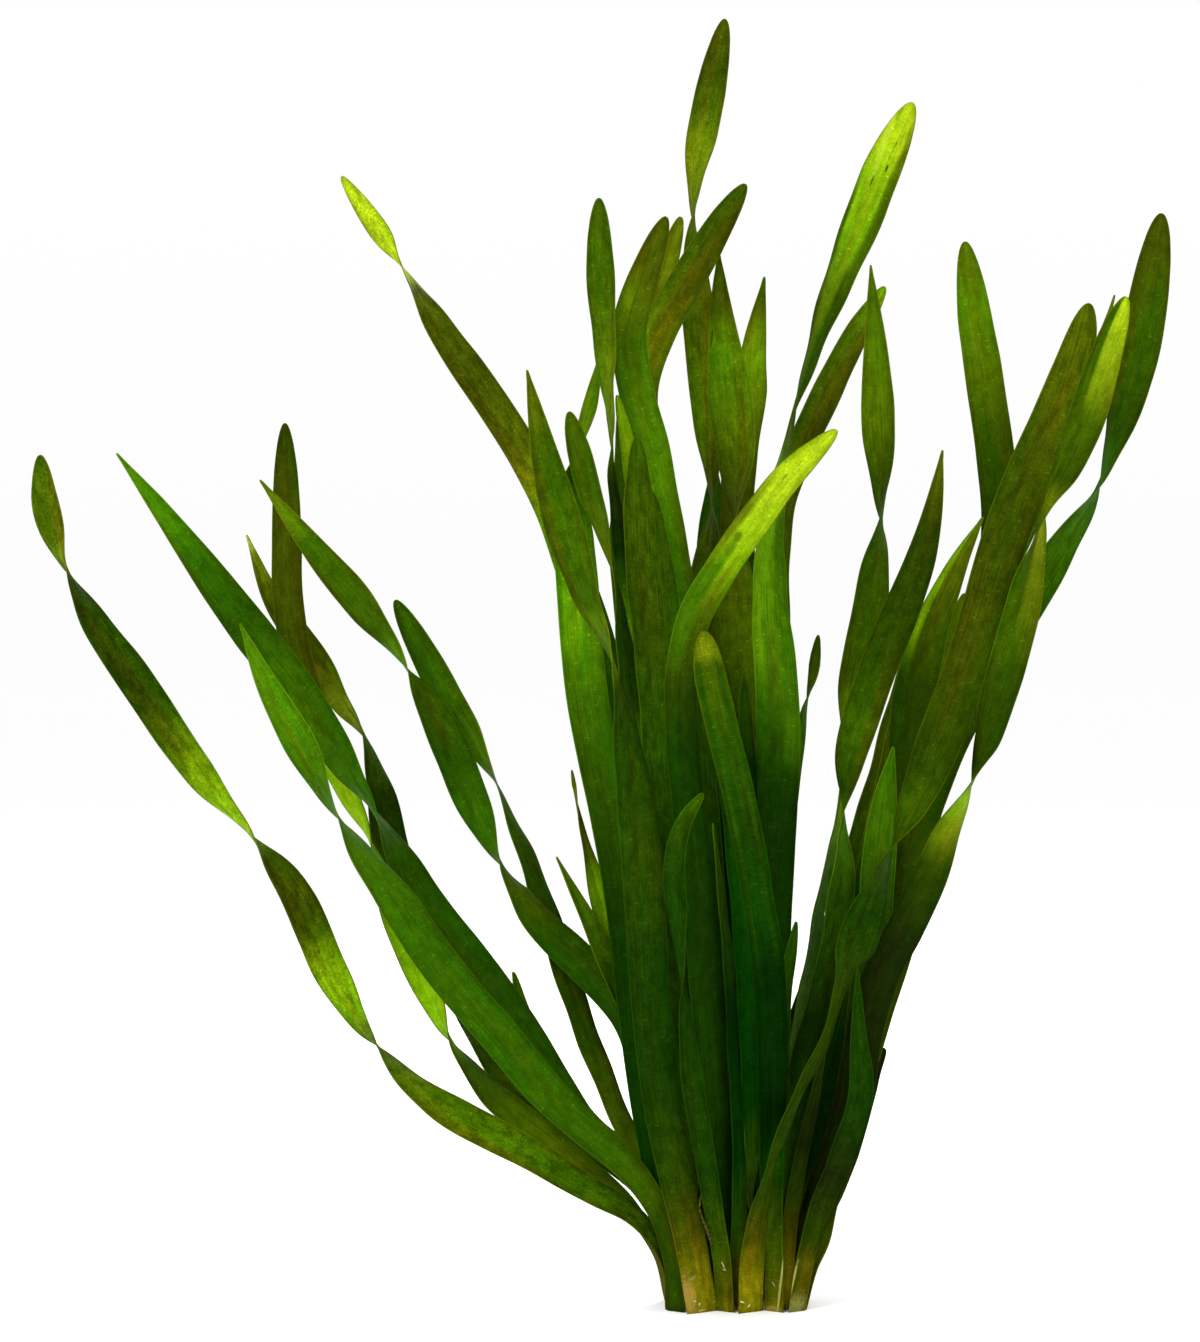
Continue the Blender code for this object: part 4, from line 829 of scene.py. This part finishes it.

# %% Lay bands along one side

# Each band: the heights between which it runs, in millimetres, the places between which it lies, from -1 at
# the left margin to 1 at the right one as they are seen from in front, and its tone.
# Painted light and shade: paler bands paint the light on a leaf's lit side, darker ones the shade of a fold;
# only the bands of leaf_front_right_1 are its real ribs.
PAINTED_LIGHT_AND_RIB_BANDS = {
    "leaf_front_left_8": ((196, 238, -0.8, 0.1, LIME),),
    "leaf_front_middle_4": ((226, 256, -1.2, -0.7, BRIGHT), (294, 304, -1.2, -0.2, LIME)),
    "leaf_front_middle_9": ((194, 222, -1.2, -0.1, MEADOW), (222, 240, -1.2, -0.55, GOLD)),
    "leaf_front_right_1": ((108, 150, -0.80, -0.50, SHADE), (108, 150, 0.45, 0.78, SHADE),
                           (140, 192, -0.80, -0.50, DEEP), (140, 192, 0.45, 0.78, DEEP)),
    "leaf_front_right_3": ((244, 296, -1.2, -0.35, OLIVE), (192, 238, -1.2, 0.0, OLIVE)),
    "leaf_front_right_5": ((190, 250, -1.2, -0.45, LIME), (165, 240, 0.3, 1.2, MEADOW),
                           (262, 302, -1.2, -0.6, DARK_OLIVE), (262, 308, 0.3, 1.2, DARK_OLIVE),
                           (300, 330, -1.2, -0.75, OLIVE), (304, 340, 0.55, 1.2, OLIVE),
                           (334, 348, 0.65, 1.2, SPRING)),
    "leaf_back_middle_5": ((264, 298, -1.2, -0.5, GOLD),),
    "leaf_back_right_4": ((196, 238, -1.2, -0.55, BRIGHT),),
}
print(len(PAINTED_LIGHT_AND_RIB_BANDS), "leaves have bands")

# %% Dress every leaf

for name in leaf_names:
    blade = leaf_blade(name, LEAF_TONES_AND_PAINTED_LIGHT[name], PAINTED_LIGHT_AND_RIB_BANDS.get(name, ()))
    blade.data.materials.append(own_surfaces.get(name) or LEAF_MATERIALS[slot_of[name]])
    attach(blade, "root")
    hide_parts(name)
faces = sum(len(thing.data.polygons) for thing in bpy.data.objects if thing.name.startswith("blade_"))
print(len(leaf_names), "blades with", faces, "faces before their thickness")

# %% [markdown]
# ## A dry strip at the foot
#
# Between the feet of two front leaves hangs a thin olive-brown strip, the papery rest of an older sheath. A
# flat curve with a bevel would have one width all along, so it is one narrow grid instead, laid along its own
# bent line, with a width at each place.

# %% Hang the dry strip

# From the top down, in millimetres: the middle in x, y and z, and the half width.
STRIP_LINE = ((-10.5, -18.7, 36.3, 0.08), (-10.9, -18.9, 34.0, 0.30), (-11.2, -18.8, 31.7, 0.14),
              (-10.9, -18.7, 30.4, 0.32), (-9.9, -18.5, 27.6, 0.26), (-8.9, -18.3, 25.2, 0.55),
              (-8.2, -18.1, 23.2, 0.45), (-7.7, -17.9, 21.2, 0.25), (-7.5, -17.6, 19.4, 0.08))
STRIP_STEPS = 40
STRIP_COLUMNS = 4
STRIP_CURL = 0.35 * MM
STRIP_THICKNESS = 0.12 * MM
# The frayed edge: how far it wanders, as a share of the half width, and how often in a metre.
FRAY = 0.5
FRAY_NOISE = 900

line = np.array(STRIP_LINE) * MM
knots = np.arange(len(line))
steps = np.linspace(0, len(line) - 1, STRIP_STEPS + 1)
line = np.column_stack([np.interp(steps, knots, column) for column in line.T])
strip = bmesh.new()
bmesh.ops.create_grid(strip, x_segments=STRIP_COLUMNS, y_segments=STRIP_STEPS, size=1)
for corner in strip.verts:
    x, y, z, half = line[round((corner.co.y + 1) / 2 * STRIP_STEPS)]
    side = corner.co.x
    frayed = 1 + FRAY * noise.noise(Vector((side * 2, z * FRAY_NOISE, 0)))
    corner.co = Vector((x + side * half * frayed, y + STRIP_CURL * side * side, z))
dry_strip = piece_from(strip, "dry_strip")
solid = dry_strip.modifiers.new("thickness", "SOLIDIFY")
solid.thickness = STRIP_THICKNESS
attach(dry_strip, "root")
print("the dry strip has", len(dry_strip.data.polygons), "faces")

# %% Colour the dry strip

STRIP_DARK = (0.018, 0.019, 0.001)
STRIP_PALE = (0.088, 0.082, 0.012)
STRIP_FIBRES = 1400

g = Graph("dry strip")
place = g.add("ShaderNodeTexCoord").outputs["Object"]
fibres = g.noise(place, scale=STRIP_FIBRES, detail=3, roughness=0.7)
g.put(g.mix(g.ramp(fibres, 0.42, 0.66), STRIP_DARK, STRIP_PALE), g.shader.inputs["Base Color"])
g.shader.inputs["Roughness"].default_value = 0.7
g.shader.inputs["Specular IOR Level"].default_value = 0.1
dry_strip.data.materials.append(g.material)
print("it takes the", g.material.name, "finish")

# %% [markdown]
# ## The crown
#
# The rootstock is a low pale slab, cut flat underneath, and little of it shows between the feet of the
# leaves. A scaled cylinder would be too round, so a circle's edge is extruded ring by ring, and each ring is
# then carried to its place on a rounded rectangle: the first on the ground, the next above it, and the rest
# inwards over a rounded shoulder. A little noise makes the slab lumpy.

# %% Shape the crown

CROWN_SEGMENTS = 96
CROWN_RINGS = 14
CROWN_TOP = 3.4 * MM
# Shares of the top's height: the first ring above the ground, and where the shoulder starts.
CROWN_SIDE = 0.4
CROWN_SHOULDER = 0.45
# A higher power gives a tighter shoulder and squarer corners.
SHOULDER_POWER = 6
CORNER_POWER = 4
# The last ring lies this far of the way to the middle.
CROWN_INWARD = 0.97
CROWN_LUMPS = 0.5 * MM
CROWN_LUMPS_PER_METRE = 260

crown_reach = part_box("crown")[1]


def crown_outline(angle):
    """How far the crown reaches in this direction: half its box, with the corners well rounded."""
    along_x = abs(math.cos(angle)) / crown_reach[0]
    along_y = abs(math.sin(angle)) / crown_reach[1]
    return (along_x**CORNER_POWER + along_y**CORNER_POWER) ** (-1 / CORNER_POWER)


def crown_height(level, inward):
    """The height of a ring: on the ground, up the side, or inwards over the shoulder."""
    if level == 0:
        return 0
    if level == 1:
        return CROWN_TOP * CROWN_SIDE
    rounded = math.sqrt(1 - (1 - inward) ** SHOULDER_POWER)
    return CROWN_TOP * (CROWN_SHOULDER + (1 - CROWN_SHOULDER) * rounded)


slab = bmesh.new()
bmesh.ops.create_circle(slab, cap_ends=False, segments=CROWN_SEGMENTS, radius=1)
ring = slab.edges[:]
for step in range(CROWN_RINGS + 2):
    grown = bmesh.ops.extrude_edge_only(slab, edges=ring)["geom"]
    raised = {item for item in grown if isinstance(item, bmesh.types.BMVert)}
    ring = [item for item in grown if isinstance(item, bmesh.types.BMEdge) and raised.issuperset(item.verts)]
    for corner in raised:
        corner.co.z = step + 1
bmesh.ops.contextual_create(slab, geom=ring)
for corner in slab.verts:
    level = round(corner.co.z)
    inward = max(0, level - 1) / (CROWN_RINGS + 1)
    angle = math.atan2(corner.co.y, corner.co.x)
    spot = Vector((math.cos(angle), math.sin(angle), 0)) * crown_outline(angle) * (1 - inward * CROWN_INWARD)
    lump = noise.noise(spot * CROWN_LUMPS_PER_METRE) * CROWN_LUMPS if level > 0 else 0
    corner.co = spot + Vector((0, 0, max(0.0, crown_height(level, inward) + lump)))
bottom = [edge for edge in slab.edges
          if edge.is_boundary and all(corner.co.z < TOUCHING for corner in edge.verts)]
bmesh.ops.contextual_create(slab, geom=bottom)
bmesh.ops.recalc_face_normals(slab, faces=slab.faces)
crown = piece_from(slab, "rootstock")
crown.data.polygons.foreach_set("use_smooth", [len(face.vertices) < 5 for face in crown.data.polygons])
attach(crown, "root")
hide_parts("crown")
print("the rootstock has", len(crown.data.polygons), "faces")

# %% Colour the crown

CUT_STRAW = (0.20, 0.17, 0.03)
CUT_OLIVE = (0.09, 0.09, 0.005)
FIBRE_PALE = (0.30, 0.26, 0.09)
FIBRE_DARK = (0.05, 0.035, 0.004)
FIBRES_PER_METRE = 700
PATCHES_PER_METRE = 160

g = Graph("cut rootstock")
place = g.add("ShaderNodeTexCoord").outputs["Object"]
fibres = g.noise(place, scale=FIBRES_PER_METRE, detail=3, roughness=0.6)
patches = g.noise(place, scale=PATCHES_PER_METRE, detail=3)
colour = g.mix(g.ramp(patches, 0.4, 0.65), CUT_STRAW, CUT_OLIVE)
colour = g.mix(g.math("MULTIPLY", g.ramp(fibres, 0.5, 0.7), 0.5), colour, FIBRE_PALE)
colour = g.mix(g.math("MULTIPLY", g.ramp(fibres, 0.5, 0.35), 0.4), colour, FIBRE_DARK)
g.put(colour, g.shader.inputs["Base Color"])
g.put(g.ramp(patches, 0.3, 0.7, 0.42, 0.62), g.shader.inputs["Roughness"])
bump = g.add("ShaderNodeBump", {"Height": fibres, "Strength": 0.4, "Distance": 0.3 * MM})
g.put(bump.outputs[0], g.shader.inputs["Normal"])
crown.data.materials.append(g.material)
print("it takes the", g.material.name, "finish")

# %% [markdown]
# ## Floor, light and camera
#
# The plant stands on a plain pale floor under an even white sky, with a large soft lamp high in front and to
# the left, as daylight from a big window would be. Two weaker lamps keep the far sides readable. The camera
# stands level with the middle of the plant, a little more than a metre in front of it.

# %% Lay the floor

FLOOR_SIZE = 80.0
FLOOR_WHITE = (0.985, 0.985, 0.982, 1)

floor_grid = bmesh.new()
bmesh.ops.create_grid(floor_grid, x_segments=1, y_segments=1, size=FLOOR_SIZE / 2)
floor = piece_from(floor_grid, "floor")
g = Graph("pale floor")
g.shader.inputs["Base Color"].default_value = FLOOR_WHITE
g.shader.inputs["Roughness"].default_value = 0.8
g.shader.inputs["Specular IOR Level"].default_value = 0.2
floor.data.materials.append(g.material)
floor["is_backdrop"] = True
print("the floor is", FLOOR_SIZE, "m wide, so that it reaches the horizon")

# %% Set the lights

# The sky is a little darker at the horizon, up to this height on a sphere of radius 1.
HAZE_TOP = 0.12
HAZE_WHITE = 0.975

world = bpy.data.worlds.new("white sky")
world.use_nodes = True
background = world.node_tree.nodes["Background"]
background.inputs["Strength"].default_value = 1.0
direction = world.node_tree.nodes.new("ShaderNodeTexCoord")
upward = world.node_tree.nodes.new("ShaderNodeSeparateXYZ")
haze = world.node_tree.nodes.new("ShaderNodeMapRange")
haze.inputs["From Max"].default_value = HAZE_TOP
haze.inputs["To Min"].default_value = HAZE_WHITE
world.node_tree.links.new(direction.outputs["Generated"], upward.inputs[0])
world.node_tree.links.new(upward.outputs["Z"], haze.inputs["Value"])
world.node_tree.links.new(haze.outputs["Result"], background.inputs["Color"])
bpy.context.scene.world = world


def soft_lamp(name, place, aim, size, watts):
    """A round lamp at this place in metres, turned towards its aim."""
    lamp = bpy.data.lights.new(name, "AREA")
    lamp.shape = "DISK"
    lamp.size = size
    lamp.energy = watts
    holder = bpy.data.objects.new(name, lamp)
    towards = Vector(aim) - Vector(place)
    holder.matrix_world = Matrix.Translation(place) @ towards.to_track_quat("-Z", "Y").to_matrix().to_4x4()
    bpy.context.scene.collection.objects.link(holder)


soft_lamp("window", place=(-0.9, -1.1, 1.3), aim=(-0.03, 0, 0.2), size=0.7, watts=22)
soft_lamp("fill right", place=(1.3, -0.7, 0.6), aim=(0, 0, 0.18), size=0.9, watts=5)
soft_lamp("back", place=(0.5, 1.3, 1.1), aim=(0, 0, 0.2), size=0.9, watts=12)
print(len(bpy.data.lights), "soft lamps and a white sky")

# %% Place the camera

EYE = (-0.0405, -1.118, 0.1901)
# How much the picture takes in at the plant, from side to side, in metres.
VIEW_WIDTH = 0.36
SENSOR_WIDTH = 36

camera_data = bpy.data.cameras.new("camera")
camera_data.sensor_fit = "HORIZONTAL"
camera_data.sensor_width = SENSOR_WIDTH
camera_data.lens = SENSOR_WIDTH * -EYE[1] / VIEW_WIDTH
camera = bpy.data.objects.new("camera", camera_data)
camera.matrix_world = Matrix.Translation(EYE) @ Matrix.Rotation(math.radians(90), 4, "X")
bpy.context.scene.collection.objects.link(camera)
bpy.context.scene.camera = camera
bpy.context.scene.view_settings.view_transform = "Standard"
print("lens", round(camera_data.lens, 1), "mm")

# %% [markdown]
# ## Check the size
#
# The dressed clump must fill the same space as the solids, so the script prints how far each corner of the
# box has moved, in millimetres.

# %% Compare the boxes

dressed_box = [list(corner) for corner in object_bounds()]
for which, corner in (("low", 0), ("high", 1)):
    grown = [round((b - a) / MM, 2) for a, b in zip(cad_box[corner], dressed_box[corner])]
    print("the", which, "corner moved by", grown, "mm")
